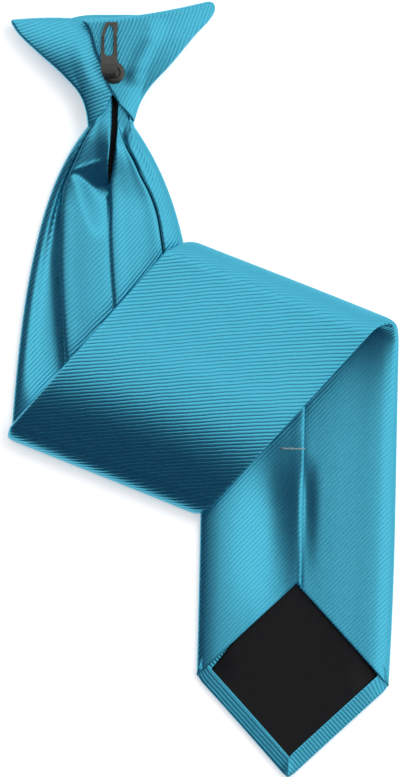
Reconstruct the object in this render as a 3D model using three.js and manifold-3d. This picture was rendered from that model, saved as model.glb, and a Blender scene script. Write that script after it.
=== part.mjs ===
// A clip-on necktie, put down with its back up and its blade folded in three.
// The knot, with its two wings and its metal hook, is at the top. The blade runs down from it,
// folds over to show its front, folds under again and ends in a point with a dark tipping.
// Millimetres, +Z up. X runs across the tie and +Y from the point towards the knot.

import * as THREE from "three";
import { mergeVertices } from "three/addons/utils/BufferGeometryUtils.js";
import Module from "manifold-3d";

const wasm = await Module();
wasm.setup();

// Cloth
const CLOTH = 1.0; // wall of the folded shell cloth with its backing
const CLEAR = 0.4; // between pieces that touch on the real tie

// Blade, seen from its back
const BLADE_WIDTH = 82; // at the point's corners
const MIDDLE_WIDTH = 85; // the run between the folds lies flatter, so it is a little wider
const UPPER_WIDTH = 79.5; // what the blade's flare below the knot grows to
const FLARE_LENGTH = 40; // how quickly it gets there
const MOUTH_WIDTH = 19.6; // where the blade leaves the knot
const NECK_WIDTH = 12.4; // gathered inside the knot
const NECK_LENGTH = 15; // how far the blade reaches up into the knot
const MOUTH_EASE = 3.2; // the blade spreads to the mouth's width over this length
const MOUTH_RAMP = 26; // and comes down to the surface over this one
const BLADE_THICKNESS = 4.4; // both walls and the room between them
const EDGE_ROUND = 4.0; // how far in the long edges start to turn
const SEAM_GAP = 0.7; // between the two flaps that meet on the back
const SEAM_OFFSET = 1.6; // the seam lies this far off the middle
const PLEAT_STEP = 1.6; // how far the pleats at the knot stand up from the flaps
const PLEAT_SWELL = 0.5; // the inner flaps swell by this between pleat and seam

// Folds: the runs are measured on the blade's middle line, from the knot's mouth
const UPPER_RUN = 147.5;
const MIDDLE_RUN = 113;
const LAST_RUN = 206.5;
const UPPER_LEAN = 1.5; // degrees that the upper run leans to the left
const UPPER_BOW = 1.6; // and how far it curves to the left on its way down
const FIRST_FOLD = -21.5; // degrees from X, as seen from above
const SECOND_FOLD = -21.3;
const FIRST_SLIP = -1.5; // the loop of cloth leans this far along its fold
const SECOND_SLIP = 10.2;
const FIRST_LOOP = { left: 5.0, right: 6.4 }; // how far the loop of cloth bulges out
const SECOND_LOOP = { left: 8.0, right: 8.6 };
const POINT_BOW = 3.2; // the point end curves to the left by this
const POINT_BOW_FROM = 0.47; // from this share of the last run

// The middle run's upper face lies this high at the second fold. The table gives its height at the
// left edge, middle and right edge as shares of that.
const FOLDED_HEIGHT = 16;
const MIDDLE_HEIGHT = [
  { along: 0, left: 0.65, middle: 0.69, right: 0.79 },
  { along: 0.45, left: 0.75, middle: 0.725, right: 0.61 },
  { along: 1, left: 1, middle: 0.96, right: 1.06 },
];

// Pleats of the upper run. along is a share of UPPER_RUN, left, right and seam are shares of half
// the blade's width, slit is a share of the seam's widest gap, and step is a share of PLEAT_STEP.
const SLIT_WIDTH = 2.2;
const PLEATS = [
  { along: -0.1, left: 0.1, right: 0.07, seam: 0.03, slit: 1, step: 0.2 },
  { along: 0, left: 0.21, right: 0.1, seam: 0.03, slit: 1, step: 0.5 },
  { along: 0.05, left: 0.33, right: 0.16, seam: 0.028, slit: 1, step: 0.9 },
  { along: 0.09, left: 0.41, right: 0.23, seam: 0.02, slit: 1, step: 1 },
  { along: 0.13, left: 0.46, right: 0.3, seam: 0.005, slit: 0.8, step: 1 },
  { along: 0.18, left: 0.49, right: 0.39, seam: -0.01, slit: 0, step: 1 },
  { along: 0.22, left: 0.505, right: 0.45, seam: -0.005, slit: 0, step: 1 },
  { along: 0.3, left: 0.512, right: 0.52, seam: 0, slit: 0, step: 1 },
  { along: 0.4, left: 0.515, right: 0.55, seam: 0.015, slit: 0, step: 1 },
  { along: 0.52, left: 0.495, right: 0.56, seam: 0.05, slit: 0, step: 1 },
  { along: 0.64, left: 0.465, right: 0.56, seam: 0.05, slit: 0, step: 1 },
  { along: 0.74, left: 0.44, right: 0.55, seam: 0.05, slit: 0, step: 0.7 },
  { along: 0.86, left: 0.42, right: 0.53, seam: 0.045, slit: 0, step: 0 },
  { along: 1, left: 0.4, right: 0.5, seam: 0.04, slit: 0, step: 0 },
];

// Point
const HEM_WIDTH = 7; // turned up over the tipping
const HEM_HEIGHT = 3.1;
const TIPPING_THICKNESS = 0.9;
const TIPPING_TUCK = 9; // how far the tipping runs on above the flaps' V

// Knot
const KNOT_HEIGHT = 46.5; // from the blade's mouth to the top edge
const WING_REACH = 43; // from the middle to either wing's tip
const KNOT_TOP_HALF = 19.5; // half the width of the knot's front at the top
const KNOT_DEPTH = 8.6; // of the knot's front, below the two wraps
const KNOT_WALL = 2.4;
const KNOT_ROUND = 4.2; // of its long edges
const WRAP_LIFT = 13.4; // height of the right wrap's back over the surface
const WRAP_THICKNESS = 2.0;
const WING_DROP = 6; // the wings' tips hang this far below that

// The two wraps, a row for each section from the top edge down to the mouth. outer is how far the
// outer edge has flared from the mouth (0) to the wing's tip (1), inner is the inner edge's x as a
// share of half the mouth's width, and the two heights are shares of KNOT_HEIGHT.
const LEFT_WRAP = [
  { along: 0, outer: 1, outerHeight: 0.975, inner: -0.92, innerHeight: 0.965 },
  { along: 0.14, outer: 0.86, outerHeight: 0.85, inner: -0.66, innerHeight: 0.84 },
  { along: 0.34, outer: 0.63, outerHeight: 0.685, inner: -0.4, innerHeight: 0.7 },
  { along: 0.54, outer: 0.3, outerHeight: 0.46, inner: -0.1, innerHeight: 0.57 },
  { along: 0.7, outer: 0.125, outerHeight: 0.325, inner: 0.26, innerHeight: 0.45 },
  { along: 0.85, outer: 0.045, outerHeight: 0.165, inner: 0.24, innerHeight: 0.37 },
  { along: 1, outer: -0.005, outerHeight: -0.02, inner: 0.1, innerHeight: 0.3 },
];
const RIGHT_WRAP = [
  { along: 0, outer: 1, outerHeight: 1.13, inner: -1.26, innerHeight: 0.965 },
  { along: 0.14, outer: 0.96, outerHeight: 1.0, inner: -1.0, innerHeight: 0.86 },
  { along: 0.34, outer: 0.72, outerHeight: 0.815, inner: -0.72, innerHeight: 0.68 },
  { along: 0.54, outer: 0.46, outerHeight: 0.61, inner: -0.4, innerHeight: 0.54 },
  { along: 0.72, outer: 0.23, outerHeight: 0.4, inner: -0.06, innerHeight: 0.365 },
  { along: 0.86, outer: 0.085, outerHeight: 0.235, inner: 0.12, innerHeight: 0.29 },
  { along: 1, outer: -0.01, outerHeight: 0.04, inner: 0.3, innerHeight: 0.22 },
];
const LEFT_TOP_RISE = 0.9; // the left wing's top edge arches up
const RIGHT_TOP_SAG = 1.6; // the right wing's top edge hangs between its ends

// Hook
const HOOK_WIDTH = 7.2;
const HOOK_TOP_WIDTH = 4.6;
const HOOK_LENGTH = 22;
const HOOK_TOP_GAP = 2.4; // below the knot's top edge
const HOOK_METAL = 0.8;
const HOOK_OFFSET = -0.9; // its middle line, to the left of the knot's middle
const SLOT_WIDTH = 3.4;
const SLOT_TOP_WIDTH = 1.9;
const SLOT_LENGTH = 12.6;
const SLOT_TOP_RIM = 1.3;
const HOOK_PLATE_LIFT = 3.9; // of the plate's middle over the cloth
const HOOK_BEND_LIFT = 3; // of the bend in its two legs
const HOOK_TOP_LIFT = 1; // of its top, which points down to the cloth
const REAR_LEAF_LIFT = 2.2;
const REAR_LEAF_LENGTH = 6;
const RIVET_RADIUS = 5;
const RIVET_THICKNESS = 1.2;
const RIVET_OFFSET = 1.6; // its centre, to the right of the hook's middle line

const rad = THREE.MathUtils.degToRad;
const lerp = THREE.MathUtils.lerp;
const ease = (from, to, x) => THREE.MathUtils.smoothstep(x, from, to);

const material = (color, roughness, metalness = 0) =>
  new THREE.MeshStandardMaterial({ color, roughness, metalness });
const SATIN = material(0x3fa3c4, 0.42);
const TIPPING = material(0x1f1f20, 0.5);
const GUNMETAL = material(0x4c4b47, 0.35, 0.9);

// The value of a table's column at a place between its rows.
function read(table, column, at) {
  const next = table.findIndex((row) => row.along >= at);
  if (next === -1) return table[table.length - 1][column];
  if (next === 0) return table[0][column];
  const [a, b] = [table[next - 1], table[next]];
  return lerp(a[column], b[column], (at - a.along) / (b.along - a.along));
}

// A closed body between two faces, each a list of rings with the same number of points.
// The rings' points run once round the body, and the first and last ring are closed by pairing
// point i with point n - 1 - i, which suits a wall that is as thin as cloth.
function loftWall(rings) {
  const n = rings[0].length;
  const positions = rings.flat().flatMap((p) => [p.x, p.y, p.z]);
  const index = [];
  for (let r = 0; r + 1 < rings.length; r++)
    for (let i = 0; i < n; i++) {
      const [a, b] = [r * n + i, r * n + ((i + 1) % n)];
      index.push(a, b, b + n, a, b + n, a + n);
    }
  const last = (rings.length - 1) * n;
  for (let i = 0; i + 1 < n / 2; i++) {
    const [a, b, c, d] = [i, i + 1, n - 2 - i, n - 1 - i];
    index.push(a, c, b, a, d, c);
    index.push(last + a, last + b, last + c, last + a, last + c, last + d);
  }
  return closedGeometry(positions, index);
}

function closedGeometry(positions, index) {
  const geometry = new THREE.BufferGeometry();
  geometry.setAttribute("position", new THREE.Float32BufferAttribute(positions, 3));
  geometry.setIndex(index);
  return solidToGeometry(geometryToSolid(geometry));
}

function geometryToSolid(geometry) {
  const bare = geometry.clone();
  for (const name of Object.keys(bare.attributes)) if (name !== "position") bare.deleteAttribute(name);
  const merged = mergeVertices(bare, 1e-4);
  const solid = new wasm.Manifold(
    new wasm.Mesh({
      numProp: 3,
      vertProperties: merged.attributes.position.array,
      triVerts: new Uint32Array(merged.index.array),
    }),
  );
  return solid;
}

function solidToGeometry(solid) {
  const mesh = solid.getMesh();
  const positions = new Float32Array(mesh.numVert * 3);
  for (let i = 0; i < mesh.numVert; i++)
    positions.set(mesh.vertProperties.subarray(i * mesh.numProp, i * mesh.numProp + 3), i * 3);
  const geometry = new THREE.BufferGeometry();
  geometry.setAttribute("position", new THREE.BufferAttribute(positions, 3));
  geometry.setIndex(Array.from(mesh.triVerts));
  geometry.computeVertexNormals();
  return geometry;
}

// Straight prism of an outline in the XY plane, between two heights.
function prism(outline, from, to, holes = []) {
  const shape = new THREE.Shape(outline);
  shape.holes = holes.map((hole) => new THREE.Path(hole));
  const geometry = new THREE.ExtrudeGeometry(shape, { depth: to - from, bevelEnabled: false });
  return geometryToSolid(geometry.translate(0, 0, from));
}

// Plan of the blade. heading() points along a run, and across() to the side of its right edge,
// which changes over where the blade shows its front.
const heading = (degrees) => new THREE.Vector2(Math.cos(rad(degrees)), Math.sin(rad(degrees)));
const across = (degrees, backUp) => {
  const ahead = heading(degrees);
  return new THREE.Vector2(-ahead.y, ahead.x).multiplyScalar(backUp ? 1 : -1);
};

const upperHeading = -90 - UPPER_LEAN;
const middleHeading = 2 * FIRST_FOLD - upperHeading;
const lastHeading = 2 * SECOND_FOLD - middleHeading;

const firstFold = foldLine(heading(upperHeading).multiplyScalar(UPPER_RUN), FIRST_FOLD, -1, FIRST_LOOP);
const middleStart = firstFold.point.clone().addScaledVector(firstFold.along, FIRST_SLIP);
const secondFold = foldLine(
  middleStart.clone().addScaledVector(heading(middleHeading), MIDDLE_RUN),
  SECOND_FOLD,
  1,
  SECOND_LOOP,
);
const lastStart = secondFold.point.clone().addScaledVector(secondFold.along, SECOND_SLIP);

// A fold's outline is the straight line through point. outward points off the blade there.
function foldLine(point, degrees, side, loop) {
  const along = heading(degrees);
  return { point, along, outward: new THREE.Vector2(-along.y, along.x).multiplyScalar(side), loop };
}

const loopDepth = (fold, v) => lerp(fold.loop.left, fold.loop.right, (v + 1) / 2);

// How far along a straight run, from start, its line at v meets the line where the fold's loop begins.
function reachOfFold(start, degrees, side, v, fold) {
  const from = start.clone().addScaledVector(side, v).sub(fold.point);
  return (-loopDepth(fold, v / side.userHalf) - from.dot(fold.outward)) / heading(degrees).dot(fold.outward);
}

// Half the blade's width on the upper run, at a distance below the mouth.
function upperHalf(distance) {
  const flared = MOUTH_WIDTH + (UPPER_WIDTH - MOUTH_WIDTH) * (1 - Math.exp(-Math.max(distance, 0) / FLARE_LENGTH));
  return lerp(NECK_WIDTH, flared, ease(0, MOUTH_EASE, distance)) / 2;
}

const upperBow = (distance) => -UPPER_BOW * Math.max(distance / UPPER_RUN, 0) ** 2;
const upperFront = (distance) => (KNOT_WALL + CLEAR) * (1 - ease(0, MOUTH_RAMP, distance));

function pointOnUpper(v, t) {
  const side = across(upperHeading, true);
  side.userHalf = upperHalf(UPPER_RUN);
  const end = reachOfFold(new THREE.Vector2(), upperHeading, side, v * side.userHalf, firstFold);
  const distance = lerp(-NECK_LENGTH, end, t);
  const place = heading(upperHeading)
    .multiplyScalar(distance)
    .addScaledVector(side, v * upperHalf(distance) + upperBow(distance));
  return { place, distance };
}

function pointOnMiddle(v, t) {
  const side = across(middleHeading, false);
  side.userHalf = MIDDLE_WIDTH / 2;
  const lateral = v * side.userHalf;
  const from = reachOfFold(middleStart, middleHeading, side, lateral, firstFold);
  const to = reachOfFold(middleStart, middleHeading, side, lateral, secondFold);
  return middleStart
    .clone()
    .addScaledVector(heading(middleHeading), lerp(from, to, t))
    .addScaledVector(side, lateral);
}

// The last run ends in a point on the front and in a V on the back, so each side has its own end.
const POINT_CORNER = LAST_RUN - BLADE_WIDTH / 2;

function pointOnLast(v, distance) {
  const side = across(lastHeading, true);
  const bow = -POINT_BOW * Math.max((distance / LAST_RUN - POINT_BOW_FROM) / (1 - POINT_BOW_FROM), 0) ** 2;
  return lastStart
    .clone()
    .addScaledVector(heading(lastHeading), distance)
    .addScaledVector(side, (v * BLADE_WIDTH) / 2 + bow);
}

function lastRunFrom(v) {
  const side = across(lastHeading, true);
  side.userHalf = BLADE_WIDTH / 2;
  return reachOfFold(lastStart, lastHeading, side, v * side.userHalf, secondFold);
}

function lastRunTo(v, onBack) {
  const inset = (1 - Math.abs(v)) * (BLADE_WIDTH / 2);
  return POINT_CORNER + (onBack ? -inset : inset);
}

function middleHeight(v, t) {
  const [first, sagging, second] = MIDDLE_HEIGHT.map((row) =>
    v < 0 ? lerp(row.middle, row.left, -v) : lerp(row.middle, row.right, v),
  );
  const low = MIDDLE_HEIGHT[1].along;
  const share = t < low ? lerp(first, sagging, ease(0, low, t)) : lerp(sagging, second, ease(low, 1, t));
  return FOLDED_HEIGHT * share;
}

// A point of the loop at a fold: from turns 0, on the lower run, to 1, on the upper one.
function pointInLoop(fold, lower, upper, height, v, turns, depthIn) {
  const angle = Math.PI * turns;
  const [out, up] = [loopDepth(fold, v), height / 2];
  const plan = lower.clone().lerp(upper, turns).addScaledVector(fold.outward, out * Math.sin(angle));
  const inward = new THREE.Vector2(-up * Math.sin(angle), out * Math.cos(angle)).normalize();
  plan.addScaledVector(fold.outward, inward.x * depthIn);
  return new THREE.Vector3(plan.x, plan.y, up * (1 - Math.cos(angle)) + inward.y * depthIn);
}

// One place along the blade. place() puts a point of the section there: v runs from -1 at the left
// edge to 1 at the right one, and depth is measured from the front face towards the back.
const STEPS = { loop: 8, middle: 6, last: 4 };

function bladeStations() {
  const stations = [];
  const upperAt = [0, 0.06, 0.09, 0.115, 0.14, 0.18, 0.22, 0.28, 0.35, 0.45, 0.56, 0.68, 0.8, 0.9, 1];
  for (const t of upperAt) {
    const { distance } = pointOnUpper(0, t);
    stations.push({
      half: upperHalf(distance),
      pleats: distance / UPPER_RUN,
      place: (v, depth) => {
        const found = pointOnUpper(v, t);
        return new THREE.Vector3(found.place.x, found.place.y, upperFront(found.distance) + depth);
      },
    });
  }
  const loop = (fold, half, lowerAt, upperAt, heightAt, turns) => ({
    half,
    pleats: 1,
    place: (v, depth) => pointInLoop(fold, lowerAt(v), upperAt(v), heightAt(v), v, turns, depth),
  });
  for (let i = 1; i <= STEPS.loop; i++)
    stations.push(
      loop(
        firstFold,
        MIDDLE_WIDTH / 2,
        (v) => pointOnUpper(v, 1).place,
        (v) => pointOnMiddle(v, 0),
        (v) => middleHeight(v, 0),
        i / STEPS.loop,
      ),
    );
  for (let i = 1; i < STEPS.middle; i++) {
    const t = i / STEPS.middle;
    stations.push({
      half: MIDDLE_WIDTH / 2,
      pleats: 1,
      place: (v, depth) => {
        const found = pointOnMiddle(v, t);
        return new THREE.Vector3(found.x, found.y, middleHeight(v, t) - depth);
      },
    });
  }
  for (let i = STEPS.loop; i >= 0; i--)
    stations.push(
      loop(
        secondFold,
        BLADE_WIDTH / 2,
        (v) => pointOnLast(v, lastRunFrom(v)),
        (v) => pointOnMiddle(v, 1),
        (v) => middleHeight(v, 1),
        i / STEPS.loop,
      ),
    );
  for (let i = 1; i <= STEPS.last; i++) {
    const t = i / STEPS.last;
    stations.push({
      half: BLADE_WIDTH / 2,
      pleats: 1,
      place: (v, depth, onBack) => {
        const found = pointOnLast(v, lerp(lastRunFrom(v), lastRunTo(v, onBack), t));
        return new THREE.Vector3(found.x, found.y, depth);
      },
    });
  }
  return stations;
}

// One face of the blade's wall: along the left flap from the seam, round the left edge, across the
// front and back to the seam, as { v, depth, onBack }. inset is 0 on the outside and CLOTH inside.
const EDGE_STEPS = 4;
const FRONT_STEPS = 7;

function bladeSection({ half, pleats }, inset) {
  const halfBlade = BLADE_WIDTH / 2;
  const round = Math.min(EDGE_ROUND, half * 0.3);
  const reach = half - inset;
  const seamAt = read(PLEATS, "seam", pleats) * halfBlade;
  const gap = lerp(SEAM_GAP, SLIT_WIDTH, read(PLEATS, "slit", pleats)) / 2;
  const step = inset ? 0 : PLEAT_STEP * read(PLEATS, "step", pleats);
  const swell = inset ? 0 : PLEAT_SWELL * read(PLEATS, "step", pleats);
  const back = BLADE_THICKNESS - inset;
  const points = [];
  const flap = (side) => {
    const limit = half - round - CLOTH;
    const pleatAt = Math.min(read(PLEATS, side < 0 ? "left" : "right", pleats) * halfBlade, limit * 0.9);
    const from = side * seamAt + gap;
    const pleat = Math.max(pleatAt, from + CLOTH);
    const nose = step * 0.5;
    const at = (x, depth) => ({ v: (side * x) / half, depth, onBack: true });
    return [
      at(from, back + step * 0.8),
      at(lerp(from, pleat, 0.35), back + step + swell),
      at(lerp(from, pleat, 0.75), back + step + swell * 0.8),
      at(pleat, back + step),
      at(pleat + nose, back + step * 0.55),
      at(pleat + nose * 0.4, back),
      at(lerp(pleat + nose * 0.4, reach - round, 0.6), back),
    ];
  };
  const edge = (side) => {
    const found = [];
    for (let i = 0; i <= EDGE_STEPS; i++) {
      const turn = Math.PI * (0.5 - i / EDGE_STEPS);
      const x = reach - (round - inset) * (1 - Math.cos(turn));
      const depth = BLADE_THICKNESS / 2 + (BLADE_THICKNESS / 2 - inset) * Math.sin(turn);
      found.push({ v: (side * x) / half, depth, onBack: turn >= 0 });
    }
    return found;
  };
  points.push(...flap(-1), ...edge(-1));
  for (let i = 1; i < FRONT_STEPS; i++)
    points.push({ v: lerp(-1, 1, i / FRONT_STEPS) * (1 - round / half), depth: inset, onBack: false });
  points.push(...edge(1).reverse(), ...flap(1).reverse());
  return points;
}

function bladeGeometry() {
  const rings = bladeStations().map((station) => {
    const place = (p) => station.place(p.v, p.depth, p.onBack);
    return [...bladeSection(station, 0).map(place), ...bladeSection(station, CLOTH).map(place).reverse()];
  });
  return solidToGeometry(hemSolids().reduce((all, hem) => all.add(hem), geometryToSolid(loftWall(rings))));
}

// The point's outline, inset from its edges: left corner, point and right corner.
function pointOutline(inset) {
  const slant = inset * Math.SQRT2;
  const corner = (side) => pointOnLast(side * (1 - inset / (BLADE_WIDTH / 2)), POINT_CORNER - slant + inset);
  return { left: corner(-1), tip: pointOnLast(0, LAST_RUN - slant), right: corner(1) };
}

// The hem: the cloth turns up round the point's two edges and lies over the tipping's border.
function hemSolids() {
  const [edge, turn, inner] = [0, CLOTH, HEM_WIDTH].map(pointOutline);
  const band = (side, from, to, low, high) =>
    prism(
      side === "left" ? [from.left, from.tip, to.tip, to.left] : [from.tip, from.right, to.right, to.tip],
      low,
      high,
    );
  return ["left", "right"].flatMap((side) => [
    band(side, edge, turn, 0, HEM_HEIGHT),
    band(side, edge, inner, HEM_HEIGHT - CLOTH, HEM_HEIGHT),
  ]);
}

function tippingGeometry() {
  const { left, tip, right } = pointOutline(HEM_WIDTH + CLEAR);
  const side = 1 - (2 * EDGE_ROUND) / BLADE_WIDTH - (2 * CLEAR) / BLADE_WIDTH;
  const top = POINT_CORNER - BLADE_WIDTH / 2 - TIPPING_TUCK;
  const inFrom = (corner, v) => corner.clone().lerp(tip, v);
  const cut = EDGE_ROUND / BLADE_WIDTH;
  const outline = [
    pointOnLast(-side, top),
    inFrom(left, cut),
    tip,
    inFrom(right, cut),
    pointOnLast(side, top),
  ];
  const high = HEM_HEIGHT - CLEAR / 2;
  return solidToGeometry(prism(outline, high - TIPPING_THICKNESS, high));
}

// The dark lining that shows in the slit below the knot lies between the blade's two walls.
function liningGeometry() {
  const width = SLIT_WIDTH * 2;
  const low = CLOTH + CLEAR;
  const high = BLADE_THICKNESS - CLOTH - CLEAR;
  const [from, to] = [0.06, 0.34];
  const rings = [];
  for (let i = 0; i <= 8; i++) {
    const t = lerp(from, to, i / 8);
    const { distance } = pointOnUpper(0, t);
    const seamAt = (read(PLEATS, "seam", distance / UPPER_RUN) * BLADE_WIDTH) / 2;
    const corner = (side, depth) => {
      const x = (seamAt + side * width * 0.5) / upperHalf(distance);
      const { place } = pointOnUpper(x, t);
      return new THREE.Vector3(place.x, place.y, upperFront(distance) + depth);
    };
    rings.push([corner(-1, low), corner(1, low), corner(1, high), corner(-1, high)]);
  }
  return loftWall(rings);
}

// A quilted cloth form over a four-sided plan: plan(s, t) gives x and y, face(s, t, x) the upper
// face's height and thickness(s, t, x) how far the lower one lies below it.
function quilt(plan, face, thickness, across, down) {
  const positions = [];
  for (const lower of [0, 1])
    for (let j = 0; j <= down; j++)
      for (let i = 0; i <= across; i++) {
        const [s, t] = [i / across, j / down];
        const { x, y } = plan(s, t);
        positions.push(x, y, face(s, t, x) - lower * thickness(s, t, x));
      }
  const row = across + 1;
  const layer = row * (down + 1);
  const index = [];
  for (let j = 0; j < down; j++)
    for (let i = 0; i < across; i++) {
      const a = j * row + i;
      const [b, c, d] = [a + 1, a + row + 1, a + row];
      index.push(a, d, c, a, c, b);
      index.push(layer + a, layer + c, layer + d, layer + a, layer + b, layer + c);
    }
  const wall = (a, b) => index.push(a, b, layer + b, a, layer + b, layer + a);
  for (let i = 0; i < across; i++) {
    wall(i, i + 1);
    wall(down * row + i + 1, down * row + i);
  }
  for (let j = 0; j < down; j++) {
    wall((j + 1) * row, j * row);
    wall(j * row + across, (j + 1) * row + across);
  }
  return closedGeometry(positions, index);
}

// Plan of a wrap: s runs from the left to the right, t from the top edge down.
function wrapPlan(table, side, topRise) {
  const halfMouth = MOUTH_WIDTH / 2;
  return (s, t) => {
    const outer = {
      x: side * lerp(halfMouth, WING_REACH, read(table, "outer", t)),
      y: read(table, "outerHeight", t) * KNOT_HEIGHT,
    };
    const inner = {
      x: read(table, "inner", t) * halfMouth,
      y: read(table, "innerHeight", t) * KNOT_HEIGHT,
    };
    const [a, b] = side < 0 ? [outer, inner] : [inner, outer];
    const rise = topRise * Math.sin(Math.PI * s) * (1 - ease(0, 0.5, t));
    return { x: lerp(a.x, b.x, s), y: lerp(a.y, b.y, s) + rise };
  };
}

const padding = (s, t) => 0.55 + 0.45 * Math.sin(Math.PI * s) * Math.sin(Math.PI * Math.min(t + 0.15, 0.9));

// Beyond the knot's front the wings hang down towards their tips.
const wingShare = (x) => Math.max((Math.abs(x) - KNOT_TOP_HALF) / (WING_REACH - KNOT_TOP_HALF), 0);
const wingDrop = (x) => WING_DROP * wingShare(x) ** 1.3;
const wingPadding = (s, t, x) => WRAP_THICKNESS * lerp(1, 1.5 * padding(s, t), Math.min(wingShare(x) * 3, 1));
const rightFace = (s, t, x) => WRAP_LIFT - wingDrop(x);
const leftFace = (s, t, x) => WRAP_LIFT - WRAP_THICKNESS - CLEAR - wingDrop(x);

// The knot's front is a padded trough that the two wraps close from behind. Its sections run from
// the mouth to the top: at and lift are shares of the knot's height and depth, and half of how far
// the trough has widened.
function knotFrontGeometry() {
  const sections = [
    { at: 0.015, half: 0, lift: 0.07 },
    { at: 0.07, half: 0.04, lift: 0 },
    { at: 0.25, half: 0.2, lift: 0 },
    { at: 0.45, half: 0.45, lift: 0 },
    { at: 0.7, half: 0.78, lift: 0 },
    { at: 0.9, half: 1, lift: 0.06 },
    { at: 0.965, half: 0.97, lift: 0.28 },
  ];
  const narrow = MOUTH_WIDTH / 2 - CLEAR;
  const halfAt = (row) => lerp(narrow, KNOT_TOP_HALF, row.half);
  const ring = (y, half, low, high, round) => {
    const points = [new THREE.Vector3(half, y, high), new THREE.Vector3(-half, y, high)];
    for (const side of [-1, 1])
      for (let i = 0; i <= 4; i++) {
        const turn = ((side < 0 ? i : 4 - i) / 4) * (Math.PI / 2);
        const x = side * (half - round * (1 - Math.cos(turn)));
        points.push(new THREE.Vector3(x, y, low + round * (1 - Math.sin(turn))));
      }
    return points;
  };
  const loft = (rings) => {
    const n = rings[0].length;
    const positions = rings.flat().flatMap((p) => [p.x, p.y, p.z]);
    const index = [];
    for (let r = 0; r + 1 < rings.length; r++)
      for (let i = 0; i < n; i++) {
        const [a, b] = [r * n + i, r * n + ((i + 1) % n)];
        index.push(a, b + n, b, a, a + n, b + n);
      }
    const last = (rings.length - 1) * n;
    for (let i = 1; i + 1 < n; i++) index.push(0, i, i + 1, last, last + i + 1, last + i);
    const geometry = new THREE.BufferGeometry();
    geometry.setAttribute("position", new THREE.Float32BufferAttribute(positions, 3));
    geometry.setIndex(index);
    return geometryToSolid(geometry);
  };
  const outer = loft(
    sections.map((row) =>
      ring(row.at * KNOT_HEIGHT, halfAt(row), row.lift * KNOT_DEPTH, KNOT_DEPTH, KNOT_ROUND),
    ),
  );
  // The hollow runs out through the mouth, and stops one wall short of the top.
  const top = sections.at(-1).at * KNOT_HEIGHT;
  const hollow = loft(
    sections.map((row, i) => {
      const y = i === 0 ? -KNOT_WALL : (row.at * KNOT_HEIGHT * (top - KNOT_WALL)) / top;
      const half = halfAt(row) - KNOT_WALL;
      return ring(y, half, KNOT_WALL, KNOT_DEPTH + KNOT_WALL, KNOT_ROUND - KNOT_WALL);
    }),
  );
  return solidToGeometry(outer.subtract(hollow));
}

// The hook is a bent strip of sheet metal, cut to its outline and slot.
function hookGeometry() {
  const top = KNOT_HEIGHT - HOOK_TOP_GAP;
  const bottom = top - HOOK_LENGTH;
  const bend = (HOOK_PLATE_LIFT - REAR_LEAF_LIFT) / 2;
  const at = (y, lift) => new THREE.Vector2(y, WRAP_LIFT + lift);
  const line = [
    at(top, HOOK_TOP_LIFT),
    at(top - 0.28 * HOOK_LENGTH, HOOK_BEND_LIFT),
    at(top - 0.36 * HOOK_LENGTH, HOOK_BEND_LIFT),
    at(top - 0.6 * HOOK_LENGTH, HOOK_PLATE_LIFT),
    at(bottom + bend, HOOK_PLATE_LIFT),
  ];
  for (let i = 1; i < 6; i++) {
    const turn = Math.PI * (i / 6);
    line.push(at(bottom + bend - bend * Math.sin(turn), REAR_LEAF_LIFT + bend * (1 + Math.cos(turn))));
  }
  line.push(at(bottom + bend, REAR_LEAF_LIFT), at(bottom + bend + REAR_LEAF_LENGTH, REAR_LEAF_LIFT));
  const side = (offset) =>
    line.map((p, i) => {
      const before = line[Math.max(i - 1, 0)];
      const after = line[Math.min(i + 1, line.length - 1)];
      const along = after.clone().sub(before).normalize();
      return new THREE.Vector2(p.x - along.y * offset, p.y + along.x * offset);
    });
  const profile = new THREE.Shape([...side(HOOK_METAL / 2), ...side(-HOOK_METAL / 2).reverse()]);
  const strip = new THREE.ExtrudeGeometry(profile, { depth: HOOK_WIDTH * 2, bevelEnabled: false });
  // The profile's own axes are y and z, and the strip runs across x.
  const turn = new THREE.Matrix4().makeBasis(
    new THREE.Vector3(0, 1, 0),
    new THREE.Vector3(0, 0, 1),
    new THREE.Vector3(1, 0, 0),
  );
  strip.applyMatrix4(turn).translate(HOOK_OFFSET - HOOK_WIDTH, 0, 0);
  const outline = taperedOutline(top, bottom - HOOK_METAL, HOOK_TOP_WIDTH, HOOK_WIDTH, 0.22);
  const slotTop = top - SLOT_TOP_RIM;
  const slot = taperedOutline(slotTop, slotTop - SLOT_LENGTH, SLOT_TOP_WIDTH, SLOT_WIDTH, 0.34);
  const [low, high] = [WRAP_LIFT - HOOK_METAL, WRAP_LIFT + 2 * HOOK_PLATE_LIFT];
  const cutter = prism(outline, low, high).subtract(prism(slot, low - HOOK_METAL, high + HOOK_METAL));
  return solidToGeometry(geometryToSolid(strip).intersect(cutter));
}

// An outline round the hook's middle line: narrow at the top, full width below the shoulder.
function taperedOutline(top, bottom, topWidth, width, shoulder) {
  const shoulderAt = top - shoulder * (top - bottom);
  const clipped = 0.16 * width;
  const half = [
    [topWidth / 2 - HOOK_METAL / 3, top],
    [topWidth / 2, top - HOOK_METAL / 3],
    [width / 2, shoulderAt],
    [width / 2, bottom + clipped],
    [width / 2 - clipped, bottom],
  ];
  const right = half.map(([x, y]) => new THREE.Vector2(HOOK_OFFSET + x, y));
  const left = half.map(([x, y]) => new THREE.Vector2(HOOK_OFFSET - x, y)).reverse();
  return [...right, ...left].reverse();
}

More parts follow.
